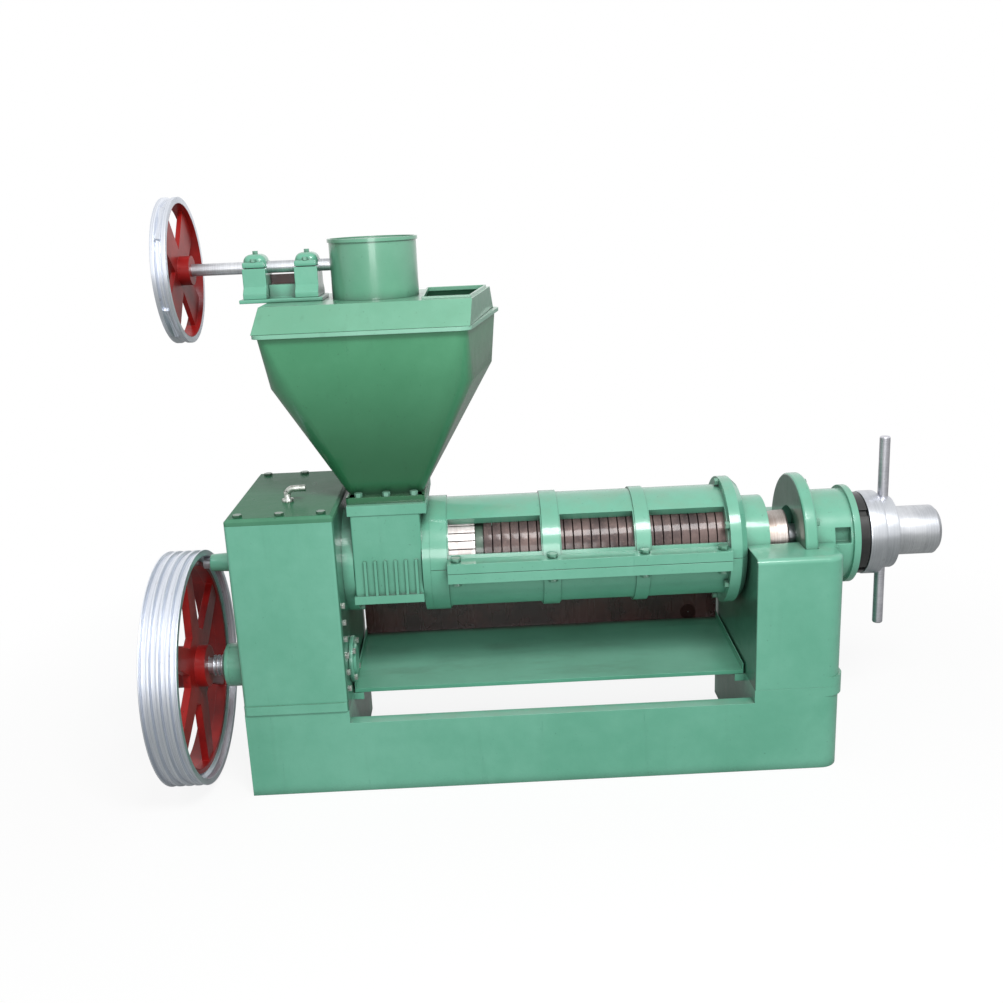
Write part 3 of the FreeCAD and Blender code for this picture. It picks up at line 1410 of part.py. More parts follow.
def lock_ring():
    x0 = housing_right + body_gap
    ring = tube_x(x0, x0 + lock_ring_width, lock_ring_radius, thread_radius + shaft_fit)
    slots = []
    for i in range(lock_ring_slots):
        slot = block(x0, x0 + lock_ring_width, -lock_ring_slot_width / 2, lock_ring_slot_width / 2,
                     main_axis_z + lock_ring_radius - lock_ring_slot_depth, main_axis_z + lock_ring_radius + 5)
        slot.rotate(Vector(0, main_axis_y, main_axis_z), Vector(1, 0, 0), 45 + 360.0 * i / lock_ring_slots)
        slots.append(slot)
    return cut_all(ring, slots)


NODES = {
    "base_frame": base_frame, "oil_tray": oil_tray,
    "gearbox_housing": gearbox_housing, "gearbox_cover": gearbox_cover, "cover_bolts": cover_bolts,
    "breather_pipe": breather_pipe, "drain_plug": drain_plug,
    "input_bearings": input_bearings, "counter_bearings": counter_bearings, "main_bearings": main_bearings,
    "input_cap": input_cap, "blind_caps": blind_caps, "tail_cap": tail_cap, "cap_bolts": cap_bolts,
    "shaft_seal": shaft_seal,
    "input_shaft": input_shaft, "input_pinion": input_pinion, "pulley_key": pulley_key,
    "pulley_end_washer": pulley_end_washer, "drive_pulley": drive_pulley,
    "countershaft": countershaft, "counter_gear": counter_gear, "counter_pinion": counter_pinion,
    "main_gear": main_gear, "main_shaft": main_shaft, "feed_worm": feed_worm, "press_worms": press_worms,
    "press_cone": press_cone,
    "feed_housing": feed_housing, "hopper": hopper, "hopper_lid": hopper_lid, "flange_bolts": flange_bolts,
    "bearing_bracket": bearing_bracket, "bearing_block_bases": bearing_block_bases,
    "bearing_block_caps": bearing_block_caps, "block_bolts": block_bolts, "grease_cups": grease_cups,
    "feed_shaft": feed_shaft, "feed_pulley": feed_pulley, "bevel_pinion": bevel_pinion,
    "crown_gear": crown_gear, "gear_cover": gear_cover, "auger_bush": auger_bush, "feed_auger": feed_auger,
    "cage_upper_half": cage_upper_half, "cage_lower_half": cage_lower_half,
    "cage_joint_bolts": cage_joint_bolts, "cage_bars": cage_bars,
    "cage_divider": cage_divider, "cage_rings": cage_rings, "outlet_ring": outlet_ring,
    "pedestal": pedestal, "outlet_plate": outlet_plate, "bearing_housing": bearing_housing,
    "thrust_bearing": thrust_bearing, "adjusting_sleeve": adjusting_sleeve, "hand_ring": hand_ring,
    "tommy_bars": tommy_bars, "lock_ring": lock_ring,
}

if __name__ == "__main__":
    os.makedirs("parts", exist_ok=True)
    for name, make in NODES.items():
        shape = make()
        if not shape.isValid():
            print("not valid:", name)
        shape.exportStep("parts/" + name + ".step")
        print(name, "solids", len(shape.Solids), "volume", round(shape.Volume))
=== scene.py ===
import json
import math

import bpy
from mathutils import Matrix, Vector

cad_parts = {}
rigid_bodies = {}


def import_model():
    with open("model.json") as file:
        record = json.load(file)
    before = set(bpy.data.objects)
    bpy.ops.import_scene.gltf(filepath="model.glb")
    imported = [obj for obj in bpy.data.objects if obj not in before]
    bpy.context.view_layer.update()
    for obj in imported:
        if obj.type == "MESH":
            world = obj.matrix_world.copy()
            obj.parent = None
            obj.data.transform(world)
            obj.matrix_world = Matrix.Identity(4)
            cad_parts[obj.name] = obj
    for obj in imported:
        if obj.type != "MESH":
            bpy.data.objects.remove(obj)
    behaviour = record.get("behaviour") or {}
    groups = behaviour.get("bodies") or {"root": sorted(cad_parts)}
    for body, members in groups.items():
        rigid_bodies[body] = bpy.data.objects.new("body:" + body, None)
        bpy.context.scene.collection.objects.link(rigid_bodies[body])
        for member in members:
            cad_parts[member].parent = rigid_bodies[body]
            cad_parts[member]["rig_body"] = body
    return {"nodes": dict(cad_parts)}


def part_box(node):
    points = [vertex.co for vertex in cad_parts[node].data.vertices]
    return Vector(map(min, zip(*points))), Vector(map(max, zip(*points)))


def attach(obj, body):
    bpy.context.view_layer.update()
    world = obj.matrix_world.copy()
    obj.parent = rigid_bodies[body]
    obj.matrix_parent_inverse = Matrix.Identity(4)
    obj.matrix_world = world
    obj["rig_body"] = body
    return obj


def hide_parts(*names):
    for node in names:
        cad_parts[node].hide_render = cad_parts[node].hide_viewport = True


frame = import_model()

for spare in ("Cube", "Light", "Camera"):
    if spare in bpy.data.objects:
        bpy.data.objects.remove(bpy.data.objects[spare])
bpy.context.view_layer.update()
NODES = frame["nodes"]


# Places and sizes, in millimetres unless a name or a comment says otherwise

PRESS_Z = 476.0
INPUT_Y = -100.0
INPUT_Z = 270.0
FEED_Z = 1120.0
FEED_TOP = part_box("hopper")[0].z * 1000.0
FEED_SHAFT_RADIUS = (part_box("feed_shaft")[1].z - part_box("feed_shaft")[0].z) * 500.0

NECK_Z = FEED_TOP + 14.0
SHOULDER_Z = 884.0
RIM_Z = 999.5
HOPPER_SHEET = 4.0
HOPPER_GAP = 0.2
LIP_DROP = 7.5
LIP_PROUD = 0.3
LIP_WIDTH = 9.5
FLANGE_WIDTH = 30.0
NECK_RADIUS = 18.0
SHOULDER_RADIUS = 56.0
RIM_RADIUS = 16.0
LIP_RADIUS = 22.0
FLANGE_RADIUS = 6.0

BORE_RADIUS = 50.5
LINING_RADIUS = 103.6
BAY_START = -232.0
DIVIDER_START = -134.0
DIVIDER_END = -116.0
DIVIDER_RADIUS = 92.0
LINING_END = 411.0
LINING_BARS = 36
BAR_SWEEP = 9.1
BAR_END_GAP = 0.3
LINING_RINGS = 27
RING_GAP = 1.6

WHEEL_START = 730.0
WHEEL_STEP = 768.0
WHEEL_END = 800.0
WHEEL_BORE = 55.2
WHEEL_RADIUS = 94.0
WHEEL_HUB_RADIUS = 82.0
WHEEL_EDGE = 4.0
TOMMY_X = 785.0
TOMMY_RADIUS = 11.5
TOMMY_LENGTH = 149.0
TOMMY_OFF_AXIS = 144.5
TOMMY_TILT = -1.5

BLOCK_PLACES = (-563.0, -456.0)
CAP_TOP = 1147.5
CAP_LENGTH = 48.0
CAP_DEPTH = 58.0
CAP_DOME = 16.0
CAP_SPLIT = FEED_Z + 0.5
EAR_LENGTH = 46.0
EAR_REACH = 37.5
EAR_TOP = 1132.5
EAR_GAP = 0.2
SHAFT_CLEARANCE = 0.4
PLUG_RADIUS = 6.0
PLUG_HEIGHT = 9.0
PLUG_CENTRE_Z = CAP_TOP + 2.0
WEB_FROM = (-539.0, 20.0, 1058.0)
WEB_TO = (-480.0, 28.0, FEED_Z - FEED_SHAFT_RADIUS - 4.0)
WEB_EDGE = 0.6

SLINGERS = 3
SLINGER_START = -706.0
SLINGER_PITCH = 9.0
SLINGER_WIDTH = 4.0
SLINGER_BORE = 17.3
SLINGER_RADIUS = 23.0

TRAY_LIFT = 7.0
TRAY_WALL_Y = 0.182  # metres, just before the inner face of the tray's back wall
DRAIN_PLACE = (381.0, 181.7, 223.0 + TRAY_LIFT)
STRAINER_RADIUS = 19.0
STRAINER_THICKNESS = 2.4


# Shader arithmetic

class Val:
    """A value socket that can be used in Python expressions."""

    def __init__(self, finish, socket):
        self.finish = finish
        self.socket = socket

    def math(self, operation, first, second, clamp=False):
        settings = {"operation": operation, "use_clamp": clamp}
        node = self.finish.node("ShaderNodeMath", settings, {0: first, 1: second})
        return Val(self.finish, node.outputs[0])

    def __add__(self, other):
        return self.math("ADD", self, other)

    def __radd__(self, other):
        return self.math("ADD", other, self)

    def __sub__(self, other):
        return self.math("SUBTRACT", self, other)

    def __rsub__(self, other):
        return self.math("SUBTRACT", other, self)

    def __mul__(self, other):
        return self.math("MULTIPLY", self, other)

    def __rmul__(self, other):
        return self.math("MULTIPLY", other, self)

    def __pow__(self, other):
        return self.math("POWER", self, other)

    def clamp(self):
        return self.math("ADD", self, 0.0, clamp=True)

    def step(self, start, end):
        """Goes smoothly from 0 at start to 1 at end."""
        settings = {"interpolation_type": "SMOOTHSTEP"}
        low, high = (start, end) if start < end else (end, start)
        sockets = {"Value": self, "From Min": low, "From Max": high}
        node = self.finish.node("ShaderNodeMapRange", settings, sockets)
        value = Val(self.finish, node.outputs["Result"])
        return value if start < end else 1.0 - value


class Finish:
    """A material under construction."""

    def __init__(self, name, **uniform):
        self.material = bpy.data.materials.new(name)
        self.material.use_nodes = True
        self.tree = self.material.node_tree
        self.shader = next(node for node in self.tree.nodes if node.type == "BSDF_PRINCIPLED")
        for socket, value in uniform.items():
            self.shader.inputs[socket.replace("_", " ")].default_value = value
        self.here = self.node("ShaderNodeTexCoord").outputs["Object"]
        split = self.node("ShaderNodeSeparateXYZ", {}, {0: self.here})
        self.x, self.y, self.z = (Val(self, split.outputs[i]) for i in range(3))

    def node(self, kind, settings=None, sockets=None):
        """Makes a node: its settings first, then the values or links of its sockets."""
        made = self.tree.nodes.new(kind)
        for key, value in (settings or {}).items():
            setattr(made, key, value)
        for key, value in (sockets or {}).items():
            self.plug(made.inputs[key], value)
        return made

    def plug(self, socket, value):
        if isinstance(value, Val):
            value = value.socket
        if isinstance(value, bpy.types.NodeSocket):
            self.tree.links.new(value, socket)
        else:
            socket.default_value = value

    def stretched(self, scale):
        """Object coordinates scaled by a different factor along each axis."""
        return self.node("ShaderNodeMapping", {}, {"Vector": self.here, "Scale": scale}).outputs[0]

    def noise(self, scale, detail, roughness, stretch=None):
        where = self.stretched(stretch) if stretch else self.here
        sockets = {"Vector": where, "Scale": scale, "Detail": detail, "Roughness": roughness}
        return Val(self, self.node("ShaderNodeTexNoise", {"noise_dimensions": "3D"}, sockets).outputs[0])

    def cells(self, scale):
        node = self.node("ShaderNodeTexVoronoi", {"feature": "F1"}, {"Vector": self.here, "Scale": scale})
        return Val(self, node.outputs[0])

    def upward(self):
        """How far a surface faces up, from -1 to 1."""
        normal = self.node("ShaderNodeNewGeometry").outputs["Normal"]
        return Val(self, self.node("ShaderNodeSeparateXYZ", {}, {0: normal}).outputs[2])

    def hollow(self, reach):
        """1 on open faces, falling towards 0 in corners within reach."""
        settings = {"samples": 6, "only_local": False}
        node = self.node("ShaderNodeAmbientOcclusion", settings, {"Distance": reach})
        return Val(self, node.outputs["AO"])

    def mix(self, share, first, second):
        """A colour between two colours."""
        sockets = {0: share, 6: first, 7: second}
        node = self.node("ShaderNodeMix", {"data_type": "RGBA", "clamp_factor": True}, sockets)
        return node.outputs[2]

    def colour(self, value):
        self.plug(self.shader.inputs["Base Color"], value)

    def rough(self, value):
        self.plug(self.shader.inputs["Roughness"], value)

    def metal(self, value):
        self.plug(self.shader.inputs["Metallic"], value)

    def relief(self, height, distance, strength, edge=0.0):
        """Bump from a height; edge rounds sharp corners over that many metres."""
        sockets = {"Height": height, "Distance": distance, "Strength": strength}
        if edge:
            sockets["Normal"] = self.node("ShaderNodeBevel", {"samples": 4}, {"Radius": edge}).outputs[0]
        bump = self.node("ShaderNodeBump", {}, sockets)
        self.plug(self.shader.inputs["Normal"], bump.outputs[0])


def rgb(red, green, blue):
    """A colour written in 0-255 steps of the screen, as Blender's linear colour."""
    def linear(step):
        share = step / 255.0
        return share / 12.92 if share <= 0.04045 else ((share + 0.055) / 1.055) ** 2.4
    return (linear(red), linear(green), linear(blue), 1.0)


def ring_distance(finish, y, z):
    """Distance from a line along X."""
    across = finish.y - y
    above = finish.z - z
    return (across * across + above * above) ** 0.5


# Finishes

def enamel(name, light, deep, grime_and_shade_colour, cast=True, top=None, low=None, gloss=0.6, shaded_side=None):
    """Sprayed enamel over cast iron or sheet, with painted shade and grime in the corners, dust, runs and
    small chips.

    top is the tone of faces that look up, partly oil and dust and partly painted shade and painted dark
    reflection;
    low is (colour, z where it begins, z where it is full) of painted shade, darker towards the bottom; and
    soiled is (x from, x to, colour) of painted shade on a side that faces the press.
    """
    shine = 0.5 if gloss else 0.1
    coat = Finish(name, IOR=1.48, Coat_Weight=gloss, Coat_Roughness=0.1, Specular_IOR_Level=shine)
    cloud = coat.noise(3.1, 4, 0.6)
    mottle = coat.noise(23.0, 3, 0.6)
    runs = coat.noise(1.0, 3, 0.55, stretch=(34.0, 34.0, 2.6)).step(0.58, 0.76)
    specks = coat.noise(160.0, 2, 0.5).step(0.70, 0.75)
    up = coat.upward()
    base = coat.mix((cloud * 0.75 + mottle * 0.25).step(0.3, 0.7), light, deep)
    # Painted shade: the colour darkens towards the low colour lower down.
    if low:
        base = coat.mix((coat.z + 0.02 * cloud).step(low[1], low[2]) * 0.8, base, low[0])
    # Faces that look up take a darker tone: partly oil and dust, partly painted shade and painted dark
    # reflection.
    if top:
        base = coat.mix((up + 0.15 * mottle).step(0.86, 0.98), base, top)
    dust = up.step(0.55, 1.0) * mottle.step(0.35, 0.75) * (0.05 if top else 0.22)
    base = coat.mix(dust, base, rgb(158, 166, 148))
    # Painted shade on a side face that faces the press.
    if shaded_side:
        start, end, shade = shaded_side
        side = coat.x.step(start - 0.0006, start) * coat.x.step(end + 0.0006, end)
        base = coat.mix(side * (0.45 + 0.5 * cloud), base, shade)
    # Darkening in corners from the occlusion is painted shade, mixed with grime; the runs and specks are
    # real marks.
    corner = (1.0 - coat.hollow(0.035)).step(0.15, 0.75)
    dirt_and_shade = (corner * (0.6 + 0.4 * cloud) + runs * (0.05 if cast else 0.1) + specks * 0.3).clamp()
    coat.colour(coat.mix(dirt_and_shade, base, grime_and_shade_colour))
    coat.rough(0.25 + 0.15 * mottle + 0.2 * dust - 0.06 * runs + 0.12 * dirt_and_shade)
    peel = coat.noise(420.0 if cast else 260.0, 2, 0.5)
    lumps = coat.noise(38.0 if cast else 9.0, 3, 0.6)
    coat.relief(peel * (0.16 if cast else 0.06) + lumps * (0.9 if cast else 0.5), 0.0012, 0.42, edge=0.0015)
    return coat.material


def tray_enamel():
    """The tray's enamel, black-brown with oily stains and painted shade on its back wall and along its fold.
    """
    coat = Finish("tray_oily_enamel", IOR=1.45, Coat_Weight=0.12, Coat_Roughness=0.1)
    cloud = coat.noise(4.0, 4, 0.6)
    drip = coat.noise(1.0, 3, 0.6, stretch=(42.0, 42.0, 3.0))
    film = coat.noise(1.0, 4, 0.6, stretch=(5.0, 16.0, 16.0))
    paint = coat.mix(cloud.step(0.3, 0.7), rgb(98, 172, 144), rgb(84, 156, 128))
    paint = coat.mix(film.step(0.5, 0.72) * 0.3, paint, rgb(58, 108, 84))
    # The back wall and the fold go dark red-brown: oily stains, deepened with painted shade under the cage
    # and in the fold.
    wall = coat.y.step(TRAY_WALL_Y - 0.0005, TRAY_WALL_Y + 0.0005)
    fold = (coat.y + cloud * 0.014).step(TRAY_WALL_Y - 0.016, TRAY_WALL_Y + 0.006)
    inner_side = coat.y.step(TRAY_WALL_Y + 0.0035, TRAY_WALL_Y + 0.0025)
    oily_stain_and_shade = ((wall + fold * 0.85) * inner_side + drip.step(0.64, 0.78) * 0.12).clamp()
    oil = coat.mix(coat.noise(14.0, 3, 0.6).step(0.35, 0.7), rgb(36, 14, 13), rgb(62, 28, 26))
    coat.colour(coat.mix(oily_stain_and_shade, paint, oil))
    coat.rough(0.34 - 0.12 * oily_stain_and_shade + 0.1 * drip)
    coat.relief(drip * 0.5 + cloud * 0.5, 0.0012, 0.4, edge=0.001)
    return coat.material


def turned_steel(name, light, dark, along="x", roughness=0.24, mark=900.0):
    """Bright turned steel: fine tool marks round the bar, faint scratches and oil haze."""
    coat = Finish(name, Metallic=1.0, IOR=2.5)
    squeeze = {"x": (mark, 6.0, 6.0), "z": (6.0, 6.0, mark)}[along]
    marks = coat.noise(1.0, 2, 0.5, stretch=squeeze)
    haze = coat.noise(11.0, 4, 0.6)
    spots = coat.noise(95.0, 3, 0.6).step(0.62, 0.78)
    tone = (haze * 0.6 + marks * 0.4).step(0.3, 0.7)
    base = coat.mix(tone, light, dark)
    coat.colour(coat.mix(spots * 0.3, base, rgb(96, 82, 66)))
    coat.rough(roughness + 0.14 * marks + 0.12 * haze + 0.15 * spots)
    coat.relief(marks, 0.0003, 0.35, edge=0.0008)
    return coat.material


def pulley_finish(name, y, z, rim_start):
    """Red enamel on hub and spokes, a bare machined rim with fine tool marks."""
    coat = Finish(name, IOR=1.46)
    distance = ring_distance(coat, y, z)
    cloud = coat.noise(7.0, 4, 0.6)
    bare = (distance + (cloud - 0.5) * 0.003).step(rim_start - 0.0008, rim_start + 0.0008)
    marks = coat.noise(1.0, 2, 0.5, stretch=(1500.0, 5.0, 5.0))
    rust = coat.noise(60.0, 3, 0.6).step(0.63, 0.8)
    red = coat.mix(cloud.step(0.3, 0.72), rgb(168, 26, 22), rgb(112, 12, 14))
    red = coat.mix(coat.noise(150.0, 2, 0.5).step(0.68, 0.74) * 0.6, red, rgb(54, 16, 14))
    steel = coat.mix(marks.step(0.35, 0.65), rgb(238, 242, 250), rgb(206, 211, 220))
    steel = coat.mix(rust * 0.35, steel, rgb(120, 92, 70))
    coat.colour(coat.mix(bare, red, steel))
    coat.metal(bare)
    coat.rough(0.30 + 0.12 * cloud + 0.06 * marks)
    height = coat.noise(300.0, 2, 0.5) * 0.4 + coat.noise(30.0, 3, 0.6)
    coat.relief(height * (1.0 - bare) + marks * 0.25 * bare, 0.001, 0.35, edge=0.0018)
    return coat.material


def press_iron():
    """Dark oil-soaked iron of the lining rings and worms, with meal in the hollows."""
    coat = Finish("oily_press_iron", Metallic=0.55, IOR=1.6, Coat_Weight=0.35, Coat_Roughness=0.1)
    cloud = coat.noise(16.0, 4, 0.62)
    grain = coat.noise(240.0, 3, 0.6)
    base = coat.mix(cloud.step(0.32, 0.68), rgb(92, 74, 70), rgb(46, 32, 32))
    coat.colour(coat.mix(grain.step(0.55, 0.75) * 0.6, base, rgb(122, 98, 88)))
    coat.rough(0.36 + 0.25 * cloud)
    coat.relief(grain * 0.6 + cloud * 0.4, 0.0008, 0.5, edge=0.0008)
    return coat.material


def zinc():
    """Plated steel of bolts and pipe, cloudy and a little rough."""
    coat = Finish("zinc_bolts", Metallic=0.9, IOR=2.2)
    cloud = coat.noise(120.0, 3, 0.6)
    coat.colour(coat.mix(cloud.step(0.35, 0.7), rgb(206, 210, 204), rgb(158, 164, 156)))
    coat.rough(0.30 + 0.2 * cloud)
    coat.relief(cloud, 0.0004, 0.4, edge=0.0008)
    return coat.material


def black_nut():
    """Blackened steel with scuffs from the spanner."""
    coat = Finish("blackened_ring", IOR=1.5, Coat_Weight=0.4, Coat_Roughness=0.15)
    cloud = coat.noise(26.0, 3, 0.6)
    scuff = coat.noise(1.0, 3, 0.6, stretch=(500.0, 30.0, 30.0)).step(0.6, 0.75)
    base = coat.mix(cloud.step(0.3, 0.7), rgb(30, 31, 31), rgb(12, 12, 13))
    coat.colour(coat.mix(scuff * 0.35, base, rgb(86, 86, 84)))
    coat.rough(0.32 + 0.2 * cloud)
    coat.relief(cloud * 0.6 + scuff * 0.3, 0.0008, 0.4, edge=0.0015)
    return coat.material


def bronze():
    """Turned bronze of the bush."""
    coat = Finish("turned_bronze", Metallic=1.0, IOR=1.8)
    cloud = coat.noise(40.0, 3, 0.6)
    coat.colour(coat.mix(cloud.step(0.3, 0.7), rgb(190, 144, 78), rgb(134, 92, 46)))
    coat.rough(0.3 + 0.25 * cloud)
    coat.relief(coat.noise(1.0, 2, 0.5, stretch=(6.0, 6.0, 800.0)), 0.0003, 0.4)
    return coat.material


def packing():
    """Greased packing cord round the shaft."""
    coat = Finish("greased_packing", IOR=1.5)
    weave = coat.cells(260.0)
    coat.colour(coat.mix(weave.step(0.2, 0.8), rgb(26, 25, 23), rgb(56, 50, 42)))
    coat.rough(0.5 + 0.2 * weave)
    coat.relief(weave, 0.001, 0.6)
    return coat.material


GREEN_LIGHT = rgb(118, 188, 162)
GREEN_DEEP = rgb(99, 173, 145)
# Grime colour, also used for the painted shade in corners.
GRIME_AND_SHADE = rgb(34, 56, 44)
COVER_GRIME_AND_SHADE = rgb(30, 40, 32)
MATERIALS = {
    "casting": enamel("green_enamel_casting", GREEN_LIGHT, GREEN_DEEP, GRIME_AND_SHADE),
    # The dark side colours given to the gearbox, pedestal and plate are painted shade on their faces towards
    # the press.
    "gearbox": enamel("green_enamel_gearbox", GREEN_LIGHT, GREEN_DEEP, GRIME_AND_SHADE,
                      shaded_side=(-0.4235, -0.4, rgb(26, 74, 52))),
    "pedestal": enamel("green_enamel_pedestal", GREEN_LIGHT, GREEN_DEEP, GRIME_AND_SHADE,
                       shaded_side=(0.44, 0.4555, rgb(22, 66, 46))),
    "plate": enamel("green_enamel_plate", GREEN_LIGHT, GREEN_DEEP, GRIME_AND_SHADE,
                    shaded_side=(0.56, 0.5722, rgb(20, 60, 42))),
    "fasteners": enamel("green_enamel_bolts", rgb(104, 160, 136), rgb(126, 176, 156), GRIME_AND_SHADE),
    # The cover's dark top tone is partly oil and dust, partly painted shade and painted dark reflection.
    "cover": enamel("green_enamel_cover", rgb(92, 148, 118), rgb(76, 132, 104), COVER_GRIME_AND_SHADE,
                    top=rgb(42, 112, 78), gloss=0.0),
    "cover_bolts": enamel("green_enamel_cover_bolts", rgb(70, 116, 90), rgb(58, 98, 76), COVER_GRIME_AND_SHADE),
    # The hopper sheet darkens towards the bottom: painted shade.
    "sheet": enamel("green_enamel_sheet", rgb(88, 164, 122), rgb(74, 150, 108), GRIME_AND_SHADE, cast=False,
                    low=(rgb(26, 92, 54), 0.985, 0.70)),
    "lid": enamel("green_enamel_lid", rgb(118, 178, 150), rgb(98, 162, 132), GRIME_AND_SHADE, cast=False),
    # The rim's lighter enamel is a painted highlight along the hopper's rim.
    "rim": enamel("green_enamel_hopper_rim", rgb(150, 206, 182), rgb(128, 190, 162), GRIME_AND_SHADE, cast=False),
    "soot": enamel("oil_black_strainer", rgb(44, 24, 22), rgb(30, 16, 15), rgb(16, 10, 10), gloss=0.0),
    "primer": enamel("old_red_primer", rgb(104, 40, 32), rgb(84, 28, 24), rgb(38, 22, 20)),
    "tray": tray_enamel(),
    "bright": turned_steel("polished_hand_wheel", rgb(214, 217, 222), rgb(180, 184, 190), roughness=0.2),
    "steel": turned_steel("bright_turned_steel", rgb(226, 228, 232), rgb(176, 179, 184)),
    "bar": turned_steel("bright_tommy_bar", rgb(228, 228, 234), rgb(184, 184, 192), along="z"),
    "cone": turned_steel("polished_press_cone", rgb(214, 208, 204), rgb(150, 136, 128), roughness=0.3),
    "lining": turned_steel("oily_lining_bars", rgb(232, 228, 226), rgb(176, 168, 166), mark=60.0,
                           roughness=0.3),
    "gear": turned_steel("hobbed_gear_steel", rgb(150, 148, 144), rgb(92, 88, 84), roughness=0.32),
    "bearing": turned_steel("ground_bearing_steel", rgb(214, 216, 220), rgb(170, 172, 178), roughness=0.14),
    "iron": press_iron(),
    "zinc": zinc(),
    "black": black_nut(),
    "bronze": bronze(),
    "packing": packing(),
    "drive_pulley": pulley_finish("drive_pulley_red", INPUT_Y / 1000.0, INPUT_Z / 1000.0, 0.2325),
    "feed_pulley": pulley_finish("feed_pulley_red", 0.0, FEED_Z / 1000.0, 0.137),
}

# The nodes that wear each material
WEARS = {
    "gearbox": ["gearbox_housing"],
    "pedestal": ["pedestal"],
    "plate": ["outlet_plate"],
    "casting": ["base_frame", "drain_plug", "input_cap", "blind_caps", "tail_cap",
                "feed_housing", "cage_upper_half", "cage_lower_half", "bearing_housing",
                "bearing_block_bases", "bearing_block_caps", "bearing_bracket"],
    "fasteners": ["block_bolts", "flange_bolts", "cage_joint_bolts", "grease_cups"],
    "cover": ["gearbox_cover"],
    "cover_bolts": ["cover_bolts", "cage_divider"],
    "sheet": ["hopper"],
    "lid": ["hopper_lid", "gear_cover"],
    "tray": ["oil_tray"],
    "steel": ["input_shaft", "pulley_key", "pulley_end_washer", "feed_shaft", "main_shaft",
              "adjusting_sleeve", "hand_ring"],
    "bar": ["tommy_bars"],
    "cone": ["press_cone"],
    "lining": ["cage_bars"],
    "gear": ["input_pinion", "countershaft", "counter_gear", "counter_pinion", "main_gear", "bevel_pinion",
             "crown_gear", "feed_auger"],
    "bearing": ["input_bearings", "counter_bearings", "main_bearings", "thrust_bearing"],
    "iron": ["cage_rings", "feed_worm", "press_worms", "outlet_ring"],
    "zinc": ["cap_bolts", "breather_pipe"],
    "bronze": ["auger_bush"],
    "packing": ["shaft_seal"],
    "black": ["lock_ring"],
    "drive_pulley": ["drive_pulley"],
    "feed_pulley": ["feed_pulley"],
}

# How wide the rounded edges of a node are
SOFT_EDGES = {
    "base_frame": 3.0, "gearbox_housing": 2.5, "gearbox_cover": 1.5, "feed_housing": 2.0, "pedestal": 2.5,
    "cage_upper_half": 1.5, "cage_lower_half": 1.5, "outlet_plate": 1.5, "bearing_housing": 2.0,
    "tail_cap": 1.5, "input_cap": 1.0, "blind_caps": 1.5, "bearing_block_bases": 2.5,
    "bearing_bracket": 1.5, "drive_pulley": 2.0, "feed_pulley": 1.5, "lock_ring": 1.2,
    "gear_cover": 0.8, "oil_tray": 0.6, "hopper_lid": 0.8, "adjusting_sleeve": 1.0,
}

# Stretches of a node that move on its copy: the axis, where the stretch starts and ends, and how far it goes
X, Z = 0, 2
CAGE_END = (X, 300.0, 400.0, 29.0)
CAGE_NECK = (X, 535.0, 545.0, -32.0)
SHIFTS = {
    "base_frame": [(Z, 165.9, 166.1, -3.0), (Z, 183.9, 184.1, 6.0)],
    "oil_tray": [(Z, 0.0, 400.0, TRAY_LIFT)],
    "cage_upper_half": [CAGE_END, CAGE_NECK],
    "cage_lower_half": [CAGE_END, CAGE_NECK],
    "press_cone": [(X, 545.0, 552.0, 11.0)],
    "lock_ring": [(X, 725.0, 760.0, -6.0)],
    "outlet_ring": [(X, 500.0, 545.0, -32.0)],
    "cage_joint_bolts": [(X, 340.0, 380.0, 29.0)],
    "flange_bolts": [(X, 340.0, 400.0, 29.0)],
    "cover_bolts": [(Z, 634.0, 640.0, -3.0)],
    "breather_pipe": [(Z, 655.0, 680.0, -8.0), (X, -510.0, -480.0, -10.0)],
}

# Nodes whose pieces are modelled anew below
REMADE = {"hopper", "cage_bars", "cage_divider", "cage_rings", "hand_ring", "tommy_bars",
          "bearing_block_caps", "grease_cups"}


# Helpers for shaping

def select_only(obj):
    """Leaves edit mode and makes a piece the only one that is selected."""
    if bpy.context.mode != "OBJECT":
        bpy.ops.object.mode_set(mode="OBJECT")
    bpy.ops.object.select_all(action="DESELECT")
    obj.hide_set(False)
    obj.select_set(True)
    bpy.context.view_layer.objects.active = obj


def put_on(obj, material):
    obj.data.materials.clear()
    obj.data.materials.append(material)


def finished_copy(node, width_mm):
    """A merged copy of a node, shifted and with rounded edges where the lists say so, to stand for it."""
    copy = bpy.data.objects.new(node + "_finished", NODES[node].data.copy())
    bpy.context.scene.collection.objects.link(copy)
    select_only(copy)
    bpy.ops.object.mode_set(mode="EDIT")
    bpy.ops.mesh.select_all(action="SELECT")
    bpy.ops.mesh.remove_doubles(threshold=0.00002)
    if width_mm:
        bpy.ops.mesh.dissolve_limited(angle_limit=math.radians(0.6))
    bpy.ops.object.mode_set(mode="OBJECT")
    for axis, low, high, distance in SHIFTS.get(node, ()):
        shift(copy, axis, low, high, distance)
    if width_mm:
        round_edges(copy, width_mm)
    stand_for(copy, node)
    return copy


def pick(obj, wanted):
    """Selects the vertices whose place is wanted, and goes into edit mode."""
    select_only(obj)
    bpy.ops.object.mode_set(mode="EDIT")
    bpy.ops.mesh.select_mode(type="VERT")
    bpy.ops.mesh.select_all(action="DESELECT")
    bpy.ops.object.mode_set(mode="OBJECT")
    for vertex in obj.data.vertices:
        vertex.select = wanted(vertex.co)
    bpy.ops.object.mode_set(mode="EDIT")


def shift(obj, axis, low, high, distance):
    """Moves the part of a piece that lies between two places on an axis, in millimetres."""
    pick(obj, lambda place: low / 1000.0 <= place[axis] <= high / 1000.0)
    step = [0.0, 0.0, 0.0]
    step[axis] = distance / 1000.0
    bpy.ops.transform.translate(value=step)
    bpy.ops.object.mode_set(mode="OBJECT")


